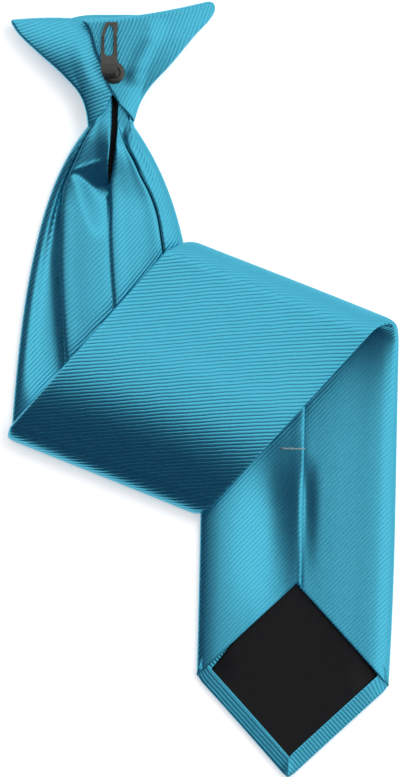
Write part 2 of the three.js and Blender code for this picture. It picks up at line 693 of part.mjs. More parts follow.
// The rivet's flat cap lies on the cloth, under the hook's rear leaf.
function rivetGeometry() {
  const rim = 0.35;
  const profile = [
    [0, 0],
    [RIVET_RADIUS, 0],
    [RIVET_RADIUS, RIVET_THICKNESS - rim],
    [RIVET_RADIUS - rim, RIVET_THICKNESS],
    [RIVET_RADIUS * 0.66, RIVET_THICKNESS],
    [RIVET_RADIUS * 0.6, RIVET_THICKNESS - rim],
    [0, RIVET_THICKNESS - rim],
  ].map(([r, z]) => new THREE.Vector2(r, z));
  const geometry = new THREE.LatheGeometry(profile, 32).rotateX(Math.PI / 2);
  return solidToGeometry(geometryToSolid(geometry));
}

const tie = new THREE.Group();

function piece(name, geometry, finish, x = 0, y = 0, z = 0) {
  const mesh = new THREE.Mesh(geometry, finish);
  mesh.name = name;
  mesh.position.set(x, y, z);
  tie.add(mesh);
}

piece("blade", bladeGeometry(), SATIN);
piece("tipping", tippingGeometry(), TIPPING);
piece("slit_lining", liningGeometry(), TIPPING);
piece("knot_front", knotFrontGeometry(), SATIN);
piece("knot_wrap_left", quilt(wrapPlan(LEFT_WRAP, -1, LEFT_TOP_RISE), leftFace, wingPadding, 10, 14), SATIN);
piece("knot_wrap_right", quilt(wrapPlan(RIGHT_WRAP, 1, -RIGHT_TOP_SAG), rightFace, wingPadding, 12, 14), SATIN);
piece("hook", hookGeometry(), GUNMETAL);
piece(
  "hook_rivet",
  rivetGeometry(),
  GUNMETAL,
  HOOK_OFFSET + RIVET_OFFSET,
  KNOT_HEIGHT - HOOK_TOP_GAP - HOOK_LENGTH + RIVET_RADIUS * 0.3,
  WRAP_LIFT + 0.3,
);

// The origin is at the middle of the tie's box, on the surface that it lies on.
tie.updateMatrixWorld(true);
const box = new THREE.Box3().setFromObject(tie, true);
const root = new THREE.Group();
tie.position.set(-(box.min.x + box.max.x) / 2, -(box.min.y + box.max.y) / 2, -box.min.z);
root.add(tie);

export default root;
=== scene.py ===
# %% [markdown]
# # A clip-on necktie, folded in three
#
# The tie lies on a table with its back up. Its knot and metal hook are at the top, the blade runs
# down, folds over to show its front, folds under again and ends in a point with a black tipping.
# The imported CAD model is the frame: it fixes where everything is. Each cell below dresses one part
# of it in real cloth, metal or thread.

from collections import namedtuple

import bpy
import numpy as np
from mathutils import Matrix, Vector


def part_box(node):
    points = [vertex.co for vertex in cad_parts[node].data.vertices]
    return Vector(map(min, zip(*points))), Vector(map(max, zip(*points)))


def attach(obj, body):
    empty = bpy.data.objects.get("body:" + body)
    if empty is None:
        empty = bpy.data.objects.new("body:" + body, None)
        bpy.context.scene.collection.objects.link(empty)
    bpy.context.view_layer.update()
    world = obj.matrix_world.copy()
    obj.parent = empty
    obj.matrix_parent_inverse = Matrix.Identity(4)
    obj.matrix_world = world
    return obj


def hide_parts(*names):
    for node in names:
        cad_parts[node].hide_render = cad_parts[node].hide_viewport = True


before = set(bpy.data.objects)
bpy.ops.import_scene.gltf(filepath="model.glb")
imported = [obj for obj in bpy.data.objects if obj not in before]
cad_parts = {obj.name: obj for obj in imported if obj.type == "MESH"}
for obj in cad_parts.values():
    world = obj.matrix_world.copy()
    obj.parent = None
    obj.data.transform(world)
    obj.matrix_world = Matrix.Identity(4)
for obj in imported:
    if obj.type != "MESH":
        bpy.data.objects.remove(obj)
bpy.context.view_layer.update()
print("nodes:", sorted(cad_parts))

# %% [markdown]
# ## One set of coordinates for the whole tie
#
# A tie maker thinks in millimetres from the knot's mouth, where the blade comes out of the knot. The
# knot's front tells where that is in the frame, so every shape below is worked out in those
# millimetres and moved into the frame at the very end.

# %% From the knot's mouth to the frame
KNOT_LOW, KNOT_HIGH = (np.array(corner) * 1000 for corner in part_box("knot_front"))
KNOT_HEIGHT = 46.5
KNOT_START, KNOT_END = 0.015, 0.965  # the knot's front, as shares of its height
MOUTH = np.array([(KNOT_LOW[0] + KNOT_HIGH[0]) / 2, KNOT_LOW[1] - KNOT_START * KNOT_HEIGHT, 0.0])
print("the knot's mouth is at", MOUTH.round(2), "mm")


def lerp(a, b, t):
    return a + (b - a) * t


def ease(start, end, x):
    t = np.clip((x - start) / (end - start), 0, 1)
    return t * t * (3 - 2 * t)


def read(table, column, at):
    """The value of a table's column between its rows, with soft corners."""
    rows = np.array([row["along"] for row in table])
    values = np.array([row[column] for row in table], float)
    slopes = np.gradient(values, rows)
    at = np.clip(at, rows[0], rows[-1])
    i = np.clip(np.searchsorted(rows, at) - 1, 0, len(rows) - 2)
    step = rows[i + 1] - rows[i]
    t = (at - rows[i]) / step
    smooth = (
        (1 + 2 * t) * (1 - t) ** 2 * values[i]
        + t * (1 - t) ** 2 * step * slopes[i]
        + t * t * (3 - 2 * t) * values[i + 1]
        + t * t * (t - 1) * step * slopes[i + 1]
    )
    low, high = np.minimum(values[i], values[i + 1]), np.maximum(values[i], values[i + 1])
    return np.clip(smooth, low, high)


# %% A mesh from a grid of points
def add_grid(points, faces, grid, base, closed_across=False):
    """Adds a grid of points, rows by columns, and its quads. Returns the grid's vertex numbers."""
    rows, columns = grid.shape[:2]
    numbers = base + np.arange(rows * columns).reshape(rows, columns)
    points.append(grid.reshape(-1, 3))
    right = np.roll(numbers, -1, axis=1) if closed_across else numbers[:, 1:]
    left = numbers if closed_across else numbers[:, :-1]
    quads = np.stack([left[:-1], right[:-1], right[1:], left[1:]], axis=-1)
    faces.append(quads.reshape(-1, 4))
    return numbers


def make_mesh(name, points, faces, cloth=None):
    """A piece from points in the maker's millimetres. cloth holds each point's place on the flat
    cloth, across the ribs and along them in millimetres. A third number, where there is one, is how
    flat the ribs are pressed there, from 0 to 1."""
    mesh = bpy.data.meshes.new(name)
    points = (np.asarray(points, float) + MOUTH) / 1000
    mesh.from_pydata(points.tolist(), [], [tuple(f) for f in faces])
    mesh.validate()
    if cloth is not None:
        layer = mesh.attributes.new("cloth", "FLOAT_VECTOR", "POINT")
        flat = np.zeros((len(points), 3))
        flat[:, : np.shape(cloth)[1]] = np.asarray(cloth)
        layer.data.foreach_set("vector", flat.ravel())
    mesh.shade_smooth()
    piece = bpy.data.objects.new(name, mesh)
    bpy.context.collection.objects.link(piece)
    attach(piece, "root")
    print(name, "has", len(points), "points and", len(faces), "faces")
    return piece


# %% [markdown]
# ## How the blade lies
#
# The blade is one long strip of cloth, folded lengthways round a lining and then laid down in three
# runs. A cloth simulation could fold it, but it wouldn't come to rest in just these places. So the
# strip's cross-section is carried along three straight runs and round two oval loops, one station
# at a time. The loops are skewed, because the tie is folded at an angle, so each line along the
# blade meets the fold in its own place.

# %% The blade's runs and folds
BLADE_WIDTH, MIDDLE_WIDTH, UPPER_WIDTH = 82.0, 85.0, 79.5
MOUTH_WIDTH, NECK_WIDTH, NECK_LENGTH, FLARE_LENGTH = 19.6, 15.0, 15.0, 40.0
MOUTH_SHIFT = 1.15  # the knot's waist and the blade's neck sit a little to the left
BLADE_THICKNESS = 4.4
UPPER_RUN, MIDDLE_RUN, LAST_RUN = 147.5, 113.0, 206.5
UPPER_LEAN, UPPER_BOW = 1.5, 1.6
POINT_BOW, POINT_BOW_FROM = 2.0, 0.47
POINT_TAPER, POINT_SKEW, POINT_DROP = 0.035, 1.5, 1.3
POINT_CORNER = LAST_RUN - BLADE_WIDTH / 2
RIGHT_SPREAD = 2.6  # the middle run's right edge spreads a little towards the second fold
FIRST_FOLD_ANGLE, SECOND_FOLD_ANGLE = -21.5, -21.3
FIRST_FOLD_DEPTHS, SECOND_FOLD_DEPTHS = (5.0, 6.4), (8.0, 8.6)  # of each loop, at v = -1 and v = 1
SECOND_FOLD_SQUARE = 0.3  # how much of an oval's corner the second loop fills near v = 1
MIDDLE_ANGLE = 2 * FIRST_FOLD_ANGLE + 90 + UPPER_LEAN
MIDDLE_SHIFT, LAST_SHIFT = -1.5, 10.2  # how far along its fold a run starts


def heading(degrees):
    return np.array([np.cos(np.radians(degrees)), np.sin(np.radians(degrees))])


class Run:
    """A straight run: where its middle line starts, which way it goes, and its side of v = +1."""

    def __init__(self, start, degrees, back_up, width):
        self.start, self.ahead, self.half = np.asarray(start, float), heading(degrees), width / 2
        self.side = np.array([-self.ahead[1], self.ahead[0]]) * (1 if back_up else -1)


class Fold:
    """A fold seen from above: a straight outline through point, and how deep its loop is."""

    def __init__(self, point, degrees, outward, left, right, square=0.0):
        self.point, self.along, self.left, self.right = point, heading(degrees), left, right
        self.square = square
        self.outward = np.array([-self.along[1], self.along[0]]) * outward

    def depth(self, v):
        return lerp(self.left, self.right, (v + 1) / 2)

    def reach(self, run, v):
        """How far along the run its line at v meets the line where the loop begins."""
        off = (run.start + np.multiply.outer(v * run.half, run.side) - self.point) @ self.outward
        return (-self.depth(v) - off) / (run.ahead @ self.outward)


upper = Run([0, 0], -90 - UPPER_LEAN, True, UPPER_WIDTH)
first_fold = Fold(upper.ahead * UPPER_RUN, FIRST_FOLD_ANGLE, -1, *FIRST_FOLD_DEPTHS)
middle = Run(first_fold.point + MIDDLE_SHIFT * first_fold.along, MIDDLE_ANGLE, False, MIDDLE_WIDTH)
second_fold = Fold(
    middle.start + middle.ahead * MIDDLE_RUN,
    SECOND_FOLD_ANGLE,
    1,
    *SECOND_FOLD_DEPTHS,
    square=SECOND_FOLD_SQUARE,
)
last = Run(
    second_fold.point + LAST_SHIFT * second_fold.along,
    2 * SECOND_FOLD_ANGLE - MIDDLE_ANGLE,
    True,
    BLADE_WIDTH,
)
print("the second fold is at", second_fold.point.round(1), "mm from the mouth")


# %% Plan and height of each run
def upper_half(distance):
    opened = 1 - np.exp(-np.maximum(distance, 0) / FLARE_LENGTH)
    flared = MOUTH_WIDTH + (UPPER_WIDTH - MOUTH_WIDTH) * opened
    return lerp(NECK_WIDTH, flared, ease(-7, 0.5, distance)) / 2


def upper_plan(v, t):
    distance = lerp(-NECK_LENGTH, first_fold.reach(upper, v), t)
    bow = -UPPER_BOW * np.maximum(distance / UPPER_RUN, 0) ** 2
    aside = v * upper_half(distance) + bow - MOUTH_SHIFT * (1 - ease(0, 60, distance))
    return np.multiply.outer(distance, upper.ahead) + np.multiply.outer(aside, upper.side), distance


def middle_plan(v, t):
    distance = lerp(first_fold.reach(middle, v), second_fold.reach(middle, v), t)
    aside = v * middle.half + lerp(1.0, RIGHT_SPREAD, t) * np.maximum(v, 0) ** 2
    return middle.start + np.multiply.outer(distance, middle.ahead) + np.multiply.outer(aside, middle.side)


MIDDLE_HEIGHT = [
    {"along": 0.0, "left": 9.8, "middle": 9.8, "right": 10.0},
    {"along": 0.06, "left": 12.3, "middle": 12.3, "right": 12.3},
    {"along": 0.12, "left": 14.5, "middle": 14.6, "right": 14.5},
    {"along": 0.18, "left": 16.2, "middle": 16.5, "right": 16.2},
    {"along": 0.23, "left": 17.2, "middle": 17.6, "right": 17.2},
    {"along": 0.28, "left": 17.8, "middle": 18.3, "right": 17.8},
    {"along": 0.33, "left": 18.1, "middle": 18.65, "right": 18.15},
    {"along": 0.38, "left": 18.15, "middle": 18.7, "right": 18.25},
    {"along": 0.44, "left": 18.0, "middle": 18.5, "right": 18.15},
    {"along": 0.5, "left": 17.65, "middle": 18.15, "right": 17.9},
    {"along": 0.62, "left": 16.6, "middle": 16.95, "right": 17.0},
    {"along": 0.8, "left": 15.1, "middle": 15.2, "right": 15.7},
    {"along": 1.0, "left": 13.7, "middle": 13.2, "right": 14.6},
]
FIRST_FOLD_SLOPE, SECOND_FOLD_SLOPE = 0.38, 0.095  # how steeply the middle run rises from each fold


def middle_height(v, t):
    left, centre, right = (read(MIDDLE_HEIGHT, column, t) for column in ("left", "middle", "right"))
    return centre + (right - left) / 2 * v + ((left + right) / 2 - centre) * v * v


def last_plan(v, distance):
    late = np.maximum((distance / LAST_RUN - POINT_BOW_FROM) / (1 - POINT_BOW_FROM), 0) ** 2
    aside = v * last.half * (1 - POINT_TAPER * late) - POINT_BOW * late
    return last.start + np.multiply.outer(distance, last.ahead) + np.multiply.outer(aside, last.side)


def last_end(v, on_back):
    inset = (1 - np.abs(v)) * BLADE_WIDTH / 2
    return POINT_CORNER + POINT_DROP + POINT_SKEW * v + np.where(on_back, -inset, inset)


def loop_point(fold, lower, upper_end, height, v, turns, depth, slope=0.0):
    """A point in a fold's loop: turns goes from 0 on the lower run to 1 on the upper one, which it
    meets at this slope."""
    angle = np.pi * turns
    out, up = fold.depth(v), height / 2
    square = np.clip((v - 0.3) / 0.7, 0, 1) * fold.square
    share = lerp(turns, ease(0.3, 1.0, turns), square)[:, None]
    flat = lerp(lower, upper_end, share) + np.multiply.outer(out * np.sin(angle), fold.outward)
    normal = np.stack([-up * np.sin(angle), out * np.cos(angle)])
    normal /= np.linalg.norm(normal, axis=0)
    flat = flat + np.multiply.outer(normal[0] * depth, fold.outward)
    fall = slope * turns * out * np.sin(angle)
    return np.column_stack([flat, up * (1 - np.cos(angle)) + normal[1] * depth - fall])


# %% [markdown]
# ## The blade's section
#
# Cut across, the blade is a flat tube: the shell cloth starts at the seam on the back, goes round the
# left edge, across the front and back round the right edge to the seam. Near the knot each back flap
# also has a pleat: the inner panel stands on the outer one and its cloth turns under itself. Pleats
# could be a bump on a flat tube, but real ones throw shadows and have an edge. So the section is a
# few control points, in the order of the cloth, with a smooth curve through them.

# %% Pleats and seam
SLIT_WIDTH = 2.2
PLEATS = [
    {"along": -0.10, "left": 0.07, "right": 0.045, "seam": 0.028, "slit": 1.0, "pleat": 0.5},
    {"along": 0.00, "left": 0.225, "right": 0.07, "seam": 0.030, "slit": 1.0, "pleat": 0.8},
    {"along": 0.05, "left": 0.345, "right": 0.14, "seam": 0.018, "slit": 1.0, "pleat": 1.0},
    {"along": 0.09, "left": 0.41, "right": 0.22, "seam": 0.005, "slit": 1.0, "pleat": 1.0},
    {"along": 0.13, "left": 0.46, "right": 0.29, "seam": -0.008, "slit": 0.85, "pleat": 1.0},
    {"along": 0.17, "left": 0.49, "right": 0.37, "seam": -0.010, "slit": 0.25, "pleat": 1.0},
    {"along": 0.21, "left": 0.508, "right": 0.43, "seam": 0.000, "slit": 0.0, "pleat": 1.0},
    {"along": 0.30, "left": 0.52, "right": 0.50, "seam": 0.002, "slit": 0.0, "pleat": 1.0},
    {"along": 0.40, "left": 0.52, "right": 0.55, "seam": 0.025, "slit": 0.0, "pleat": 1.0},
    {"along": 0.52, "left": 0.49, "right": 0.56, "seam": 0.070, "slit": 0.0, "pleat": 1.0},
    {"along": 0.64, "left": 0.44, "right": 0.56, "seam": 0.075, "slit": 0.0, "pleat": 1.0},
    {"along": 0.74, "left": 0.40, "right": 0.55, "seam": 0.070, "slit": 0.0, "pleat": 0.8},
    {"along": 0.86, "left": 0.42, "right": 0.53, "seam": 0.055, "slit": 0.0, "pleat": 0.0},
    {"along": 1.00, "left": 0.40, "right": 0.50, "seam": 0.040, "slit": 0.0, "pleat": 0.0},
]
STEP, TUCK = 1.5, 4.0  # an inner panel's height over the plain back, and the cloth turned under it
LAP = 0.42  # how far the flap on top is raised at the seam, and the other one lowered
EDGE_DEPTH = BLADE_THICKNESS / 2 - 0.3  # of the blade's outermost line, where back and front meet


def flap_curve(side, half, along, on_top):
    """Control points of one back flap, from the seam to the edge: x towards that edge, and depth.
    on_top is 1 where this flap lies over the other one at the seam, and -1 where it lies under."""
    pleat = read(PLEATS, "pleat", along) * (1 if side < 0 else ease(-0.01, 0.06, along))
    slit = read(PLEATS, "slit", along)
    edge = half - min(3.2, 0.16 * half)
    closed = 1 - slit
    seam = side * read(PLEATS, "seam", along) * BLADE_WIDTH / 2 + slit * SLIT_WIDTH / 2 - 0.5 * closed
    nose = read(PLEATS, "left" if side < 0 else "right", along) * BLADE_WIDTH / 2
    nose = np.clip(nose, seam + 1.6, edge * 0.92)
    top = BLADE_THICKNESS + STEP * pleat
    lap = LAP * on_top * closed
    plain = 1 - pleat
    tuck = min(TUCK, max(nose - seam - 1.0, 0.2)) * pleat
    # outside its pleat, the left panel falls slowly away and the right one comes up at once
    low, shoulder_low, outer_low = (1.0, 1.9, 1.7) if side < 0 else (0.55, -0.3, 0.2)
    valley, shoulder = (0.6, 4.2) if side < 0 else (0.3, 1.1)
    crown = 0 if side < 0 else 0.5 * pleat
    return [
        (seam + 0.9, top - 1.0 + lap),
        (seam, top - 0.5 + lap),
        (seam + 0.4, top + lap + crown),
        (lerp(seam, nose, 0.35), top + 0.25 * pleat + 0.3 * lap + 0.3 * crown),
        (lerp(seam, nose, 0.72), top + 0.3 * pleat - 0.6 * crown),
        (nose - 0.2, top + 0.3 * pleat - 1.0 * crown),
        (nose + 0.1 * pleat, top - 0.6 * pleat),
        (nose - 0.7 * pleat + 0.5 * plain, top - 1.15 * pleat),
        (nose - tuck + 0.9 * plain, top - 1.2 * pleat),
        (nose - tuck - 0.5 * pleat + 1.3 * plain, top - 1.65 * pleat),
        (nose - tuck + 1.7 * plain, top - 2.1 * pleat),
        (nose + min(valley, 0.3 * (edge - nose)) * pleat + 2.4 * plain, BLADE_THICKNESS - low * pleat),
        (
            nose + min(shoulder, 0.5 * (edge - nose)) * pleat + 3.6 * plain,
            BLADE_THICKNESS - shoulder_low * pleat,
        ),
        (lerp(nose, edge, 0.7) + 1.2 * plain, BLADE_THICKNESS - outer_low * pleat),
        (edge, BLADE_THICKNESS - 0.55),
        (lerp(edge, half, 0.7), BLADE_THICKNESS - 1.35),
        (half, EDGE_DEPTH),
        (half - 0.8, 0.55),
        (half - 3.0, 0.0),
    ]


SPANS = [2, 2, 6, 5, 4, 3, 3, 2, 2, 2, 3, 3, 4, 4, 3, 3, 3, 3]  # steps from each point to the next
FRONT_COLUMNS = 35


def smooth_curve(control, spans):
    """Points on a smooth curve through the control points, with so many steps in each span."""
    control = np.asarray(control, float)
    before = np.vstack([2 * control[0] - control[1], control[:-1]])
    after = np.vstack([control[1:], 2 * control[-1] - control[-2]])
    way = after - before
    way = way / np.maximum(np.linalg.norm(way, axis=1, keepdims=True), 1e-9)
    found = []
    for i, steps in enumerate(spans):
        a, b = control[i], control[i + 1]
        slope_a, slope_b = way[i : i + 2] * np.linalg.norm(b - a)
        t = (np.arange(steps) / steps)[:, None]
        found.append(
            (1 + 2 * t) * (1 - t) ** 2 * a
            + t * (1 - t) ** 2 * slope_a
            + t * t * (3 - 2 * t) * b
            + t * t * (t - 1) * slope_b
        )
    return np.vstack([*found, control[-1:]])


def section(half, along, left_on_top):
    """The whole section: x, depth, whether it is on the back, and which flap (-1, 0, 1) it is in."""
    left = smooth_curve(flap_curve(-1, half, along, left_on_top), SPANS)
    right = smooth_curve(flap_curve(1, half, along, -left_on_top), SPANS)
    front = np.linspace(-left[-1, 0], right[-1, 0], FRONT_COLUMNS)[1:-1]
    x = np.concatenate([-left[:, 0], front, right[::-1, 0]])
    depth = np.concatenate([left[:, 1], np.zeros(len(front)), right[::-1, 1]])
    flap = np.concatenate([-np.ones(len(left)), np.zeros(len(front)), np.ones(len(right))])
    on_back = (flap != 0) & (depth > EDGE_DEPTH)
    return x, depth, on_back, flap


print("a section has", len(section(UPPER_WIDTH / 2, 0.4, 0.0)[0]), "points")

# %% [markdown]
# ## Where the ribs run
#
# The shell is a ribbed satin cut on the bias, so its ribs cross the blade at about 44 degrees, and
# they keep their place in the cloth however it is folded. A texture that is fixed in space would run
# straight on over the folds. Each point of the mesh therefore remembers where it is on the flat
# cloth, across the ribs and along them, and the material draws its ribs from those two numbers.

# %% Place on the flat cloth
BIAS = np.radians(43.5)


def on_cloth(along, leftward):
    """Across the ribs and along them, from the way along the blade and towards a walker's left."""
    across_ribs = along * np.sin(BIAS) + leftward * np.cos(BIAS)
    return np.stack([across_ribs, along * np.cos(BIAS) - leftward * np.sin(BIAS)], axis=-1)


# %% Dents of the cloth
def quilt_relief(x, distance):
    """Soft dents of the left inner panel: it rises to the slit, and beside the slit's end it is
    pinched. The cloth drops off along a line that runs up to the right, and comes up again slowly."""
    to_slit = lerp(0.4, 1.5, ease(-6, 10, distance)) * np.clip((x + 6.6) / 6.0, 0, 1) ** 1.3
    to_slit *= 1 - ease(20, 30, distance)
    below = distance - (14.7 - 0.36 * (x + 4.3))
    reach = lerp(0.9, 11.0, ease(-18, -4, x))
    depth = 3.6 * ease(-18, -7, x)
    share = below / reach
    fold = -depth * np.clip(share, 0, 1) * (1 - ease(0.95, 3.0, share))
    crest = 0.45 * np.exp(-((below / 0.8) ** 2)) * ease(-20, -14, x) * (1 - ease(-5, -4, x))
    return np.where(x < -0.3, to_slit + fold + crest, 0)


def point_relief(x, distance):
    """Soft dents of the last run's back, on both sides of the seam below the bar tack."""
    left = -2.6 * np.exp(-(((x + 11) / 11) ** 2)) * ease(60, 98, distance) * (1 - ease(100, 150, distance))
    right = -1.2 * (1 - ease(3, 9, x)) * ease(70, 92, distance) * (1 - ease(94, 130, distance))
    left, right = np.where(x < 1.7, left, 0), np.where(x > 1.7, right, 0)
    return left + right


panel = np.meshgrid(np.linspace(-20, 0, 60), np.linspace(0, 60, 120))
print("the left panel's deepest dent is", round(-float(quilt_relief(*panel).min()), 1), "mm")

# %% Stations of the upper run and the first fold
UPPER_ROWS, LOOP_ROWS, MIDDLE_ROWS, LAST_ROWS = 112, 22, 56, 92
MOUTH_LIFT = 2.6  # the blade comes out of the knot just under the wraps
LAST_LIFT, LAST_LIFT_LENGTH = 3.6, 15.0  # the last run rises from the table towards the second fold
BACK_DEPTH = 3.2  # cloth that is farther than this from the front takes the back's dents

# distance is each point's way along its run. In a fold it is None, and so is run.
Station = namedtuple("Station", "points x half on_back flap distance run")


def upper_stations():
    # the stations crowd below the knot, where the creases are small
    for t in np.interp(np.linspace(0, 1, UPPER_ROWS), [0, 0.2, 0.5, 1], [0, 0.14, 0.28, 1]):
        nominal = float(upper_plan(np.zeros(1), t)[1][0])
        half = float(upper_half(nominal))
        x, depth, on_back, flap = section(half, nominal / UPPER_RUN, -1.0)
        plan, distance = upper_plan(x / half, t)
        lift = MOUTH_LIFT * (1 - ease(-2, 34, distance))
        depth = depth * (1 + 0.12 * (1 - ease(-2, 30, distance)))
        depth = depth + np.where(depth > BACK_DEPTH, quilt_relief(x, distance), 0)
        points = np.column_stack([plan, lift + depth])
        yield Station(points, x, half, on_back, flap, distance, "upper")


def first_fold_stations():
    half = MIDDLE_WIDTH / 2
    x, depth, on_back, flap = section(half, 1.0, -1.0)
    v = x / half
    start, end, height = upper_plan(v, 1)[0], middle_plan(v, 0), middle_height(v, 0)
    for turns in np.arange(1, LOOP_ROWS + 1) / LOOP_ROWS:
        points = loop_point(first_fold, start, end, height, v, turns, depth, FIRST_FOLD_SLOPE)
        yield Station(points, x, half, on_back, flap, None, None)


# %% Stations of the middle run, the second fold and the last run
def middle_stations():
    """The front is up here. Hidden under it, the flaps change over at the seam."""
    half = MIDDLE_WIDTH / 2
    for t in np.arange(1, MIDDLE_ROWS) / MIDDLE_ROWS:
        x, depth, on_back, flap = section(half, 1.0, 2 * t - 1)
        v = x / half
        plan = middle_plan(v, t)
        points = np.column_stack([plan, middle_height(v, t) - depth])
        distance = (plan - middle.start) @ middle.ahead
        yield Station(points, x, half, on_back, flap, distance, "middle")


def second_fold_stations():
    half = BLADE_WIDTH / 2
    x, depth, on_back, flap = section(half, 1.0, 1.0)
    v = x / half
    start, end, height = last_plan(v, second_fold.reach(last, v)), middle_plan(v, 1), middle_height(v, 1)
    for turns in np.arange(LOOP_ROWS, -1, -1) / LOOP_ROWS:
        points = loop_point(second_fold, start, end, height, v, turns, depth, SECOND_FOLD_SLOPE)
        points[:, 2] += LAST_LIFT * (1 + np.cos(np.pi * turns)) / 2
        rise = LAST_LIFT / LAST_LIFT_LENGTH * second_fold.depth(v)
        points[:, 2] += rise * np.sin(np.pi * turns) * (1 - turns) ** 2
        yield Station(points, x, half, on_back, flap, None, None)


def last_stations():
    x, depth, on_back, flap = section(last.half, 1.0, 1.0)
    v = x / last.half
    fold_end = second_fold.reach(last, v)
    for t in np.arange(1, LAST_ROWS + 1) / LAST_ROWS:
        distance = lerp(fold_end, last_end(v, on_back), t)
        height = depth + np.where(depth > BACK_DEPTH, point_relief(x, distance), 0)
        height = height + LAST_LIFT * np.exp(-(distance - fold_end) / LAST_LIFT_LENGTH)
        points = np.column_stack([last_plan(v, distance), height])
        yield Station(points, x, last.half, on_back, flap, distance, "last")


stations = [
    *upper_stations(),
    *first_fold_stations(),
    *middle_stations(),
    *second_fold_stations(),
    *last_stations(),
]
blade_points = np.stack([station.points for station in stations])
print("the blade has", len(stations), "stations")


# %% Ribs of the blade
def pleat_at(side, distance):
    return read(PLEATS, side, distance / UPPER_RUN) * BLADE_WIDTH / 2


def place_in_upper_run(station, travelled):
    """The way along and towards a walker's left. Outside its pleat, a flap's ribs go their own way."""
    x, on_back, distance = station.x, station.on_back, station.distance
    pleat = np.where(x < 0, pleat_at("left", distance), pleat_at("right", distance))
    inner = on_back & (np.abs(x) < pleat + 0.3)
    outer = np.where(station.flap < 0, x, x - station.half)
    back_leftward = np.where(inner, x - pleat_at("seam", distance), outer)
    back_way = np.where((station.flap < 0) & ~inner, -station.points[:, 1], travelled)
    return np.where(on_back, back_way, distance), np.where(on_back, back_leftward, -x)


def blade_cloth():
    """Each point's place on the flat cloth. In the runs it comes from the way along and across them.
    The loops join the runs, so there it goes evenly from one run to the next."""
    steps = np.linalg.norm(np.diff(blade_points, axis=0), axis=2)
    travelled = np.vstack([np.zeros(blade_points.shape[1]), np.cumsum(steps, axis=0)])
    cloth = np.zeros((*blade_points.shape[:2], 2))
    base, loop_start = 0.0, UPPER_ROWS - 1
    for r, station in enumerate(stations):
        if station.run == "upper":
            cloth[r] = on_cloth(*place_in_upper_run(station, travelled[r]))
        elif station.run:
            if stations[r - 1].run is None:
                front = ~station.on_back
                loop = (travelled[r] - travelled[loop_start])[front].mean()
                base += loop + stations[loop_start].distance[front].mean() - station.distance[front].mean()
            across = station.x - station.flap * 2 * station.half
            leftward = np.where(station.on_back, across, -station.x)
            cloth[r] = on_cloth(station.distance + base, leftward)
            loop_start = r
    for r, station in enumerate(stations):
        if station.run is None:
            start = max(i for i in range(r) if stations[i].run)
            end = min(i for i in range(r, len(stations)) if stations[i].run)
            cloth[r] = lerp(cloth[start], cloth[end], (r - start) / (end - start))
    return cloth


cloth = blade_cloth()
print("ribs from", cloth[..., 0].min().round(), "to", cloth[..., 0].max().round(), "mm")

# %% [markdown]
# ## Hems and the V above the tipping
#
# At the point the shell cloth turns up round the two slanting edges and lies over the tipping as a
# narrow hem. The two back flaps end in a V whose edges are turned under. Strips laid on top would be
# easier, but a hem is the same cloth. So both are grown from the last station: the front's points
# roll up and run back inwards, and the flaps' points roll down.

# %% Turned edges
HEM_WIDTH, HEM_HEIGHT, HEM_CORNER_HEIGHT, TURN_UNDER = 6.1, 2.7, 2.3, 4.0
HEM_BULGE, HEM_TILT = 0.6, 0.35
CORNER_SLANT = 3.6  # how far the hem's inside is pushed under the flap at the point's corners
IRONED = 0.6  # how much of the ribs' relief the iron has pressed out of the turned edges


def turned_edge(edge, edge_cloth, outward, width, height, bulge, on_back, slant=0.0, tilt=0.0, steps=12):
    """Rows that turn the cloth over at its edge and run it back by width, at this height, and by
    slant along the edge. By tilt the turn is lower than the inside. The place on the flat cloth goes
    straight on over the edge, so the ribs turn with it."""
    sideways = (outward @ last.side) * (1 if on_back else -1)
    cloth_way = on_cloth(outward @ last.ahead, sideways)
    rows, flat = [], []
    for k in range(1, 2 * steps + 1):
        turn = min(k / steps, 1) * np.pi
        run = max(k - steps, 0) / steps
        out = bulge * np.sin(turn) - width * run
        z = lerp(edge[:, 2], height - tilt * (1 - run), (1 - np.cos(turn)) / 2)
        rows.append(np.column_stack([edge[:, :2] + outward * out[:, None] + slant * run, z]))
        travelled = np.abs(height - edge[:, 2]) * turn / 2 + width * run
        flat.append(edge_cloth + cloth_way * travelled[:, None])
    return np.stack(rows), np.stack(flat)


def edge_normals(edge, tip):
    """Which way is out of the cloth, and how far it is to the tip, on the tip's left and right."""
    outward, room = np.zeros((len(edge), 2)), np.zeros(len(edge))
    for corner, here in ((edge[0], edge[:, 0] < tip[0]), (edge[-1], edge[:, 0] >= tip[0])):
        along_edge = (tip - corner)[:2] / np.linalg.norm((tip - corner)[:2])
        normal = np.array([along_edge[1], -along_edge[0]])
        outward[here] = normal * np.sign(normal @ last.ahead)
        room[here] = np.abs((tip - edge[here])[:, :2] @ along_edge)
    return outward, room


# %% Hems at the point
front_columns = np.where(~stations[-1].on_back)[0]
edge = blade_points[-1][front_columns]
tip = edge[np.argmin(edge[:, 1])]
outward, room = edge_normals(edge, tip)
left_side = edge[:, 0] < tip[0]
from_corner = np.where(left_side, room[left_side].max(), room[~left_side].max()) - room
to_tip = np.column_stack([-outward[:, 1], outward[:, 0]])
to_tip *= np.sign(to_tip @ last.ahead)[:, None]
hem_points, hem_cloth = turned_edge(
    edge,
    cloth[-1][front_columns],
    outward,
    width=np.minimum(HEM_WIDTH, room),
    height=lerp(HEM_CORNER_HEIGHT, HEM_HEIGHT, ease(0, 9, from_corner)),
    bulge=HEM_BULGE * ease(0, 1.5, room) * ease(0, 4, from_corner),
    on_back=False,
    slant=-to_tip * CORNER_SLANT * (1 - ease(0, 12, from_corner))[:, None],
    tilt=HEM_TILT,
)
print("the hem has", hem_points.shape[:2], "rows and columns")

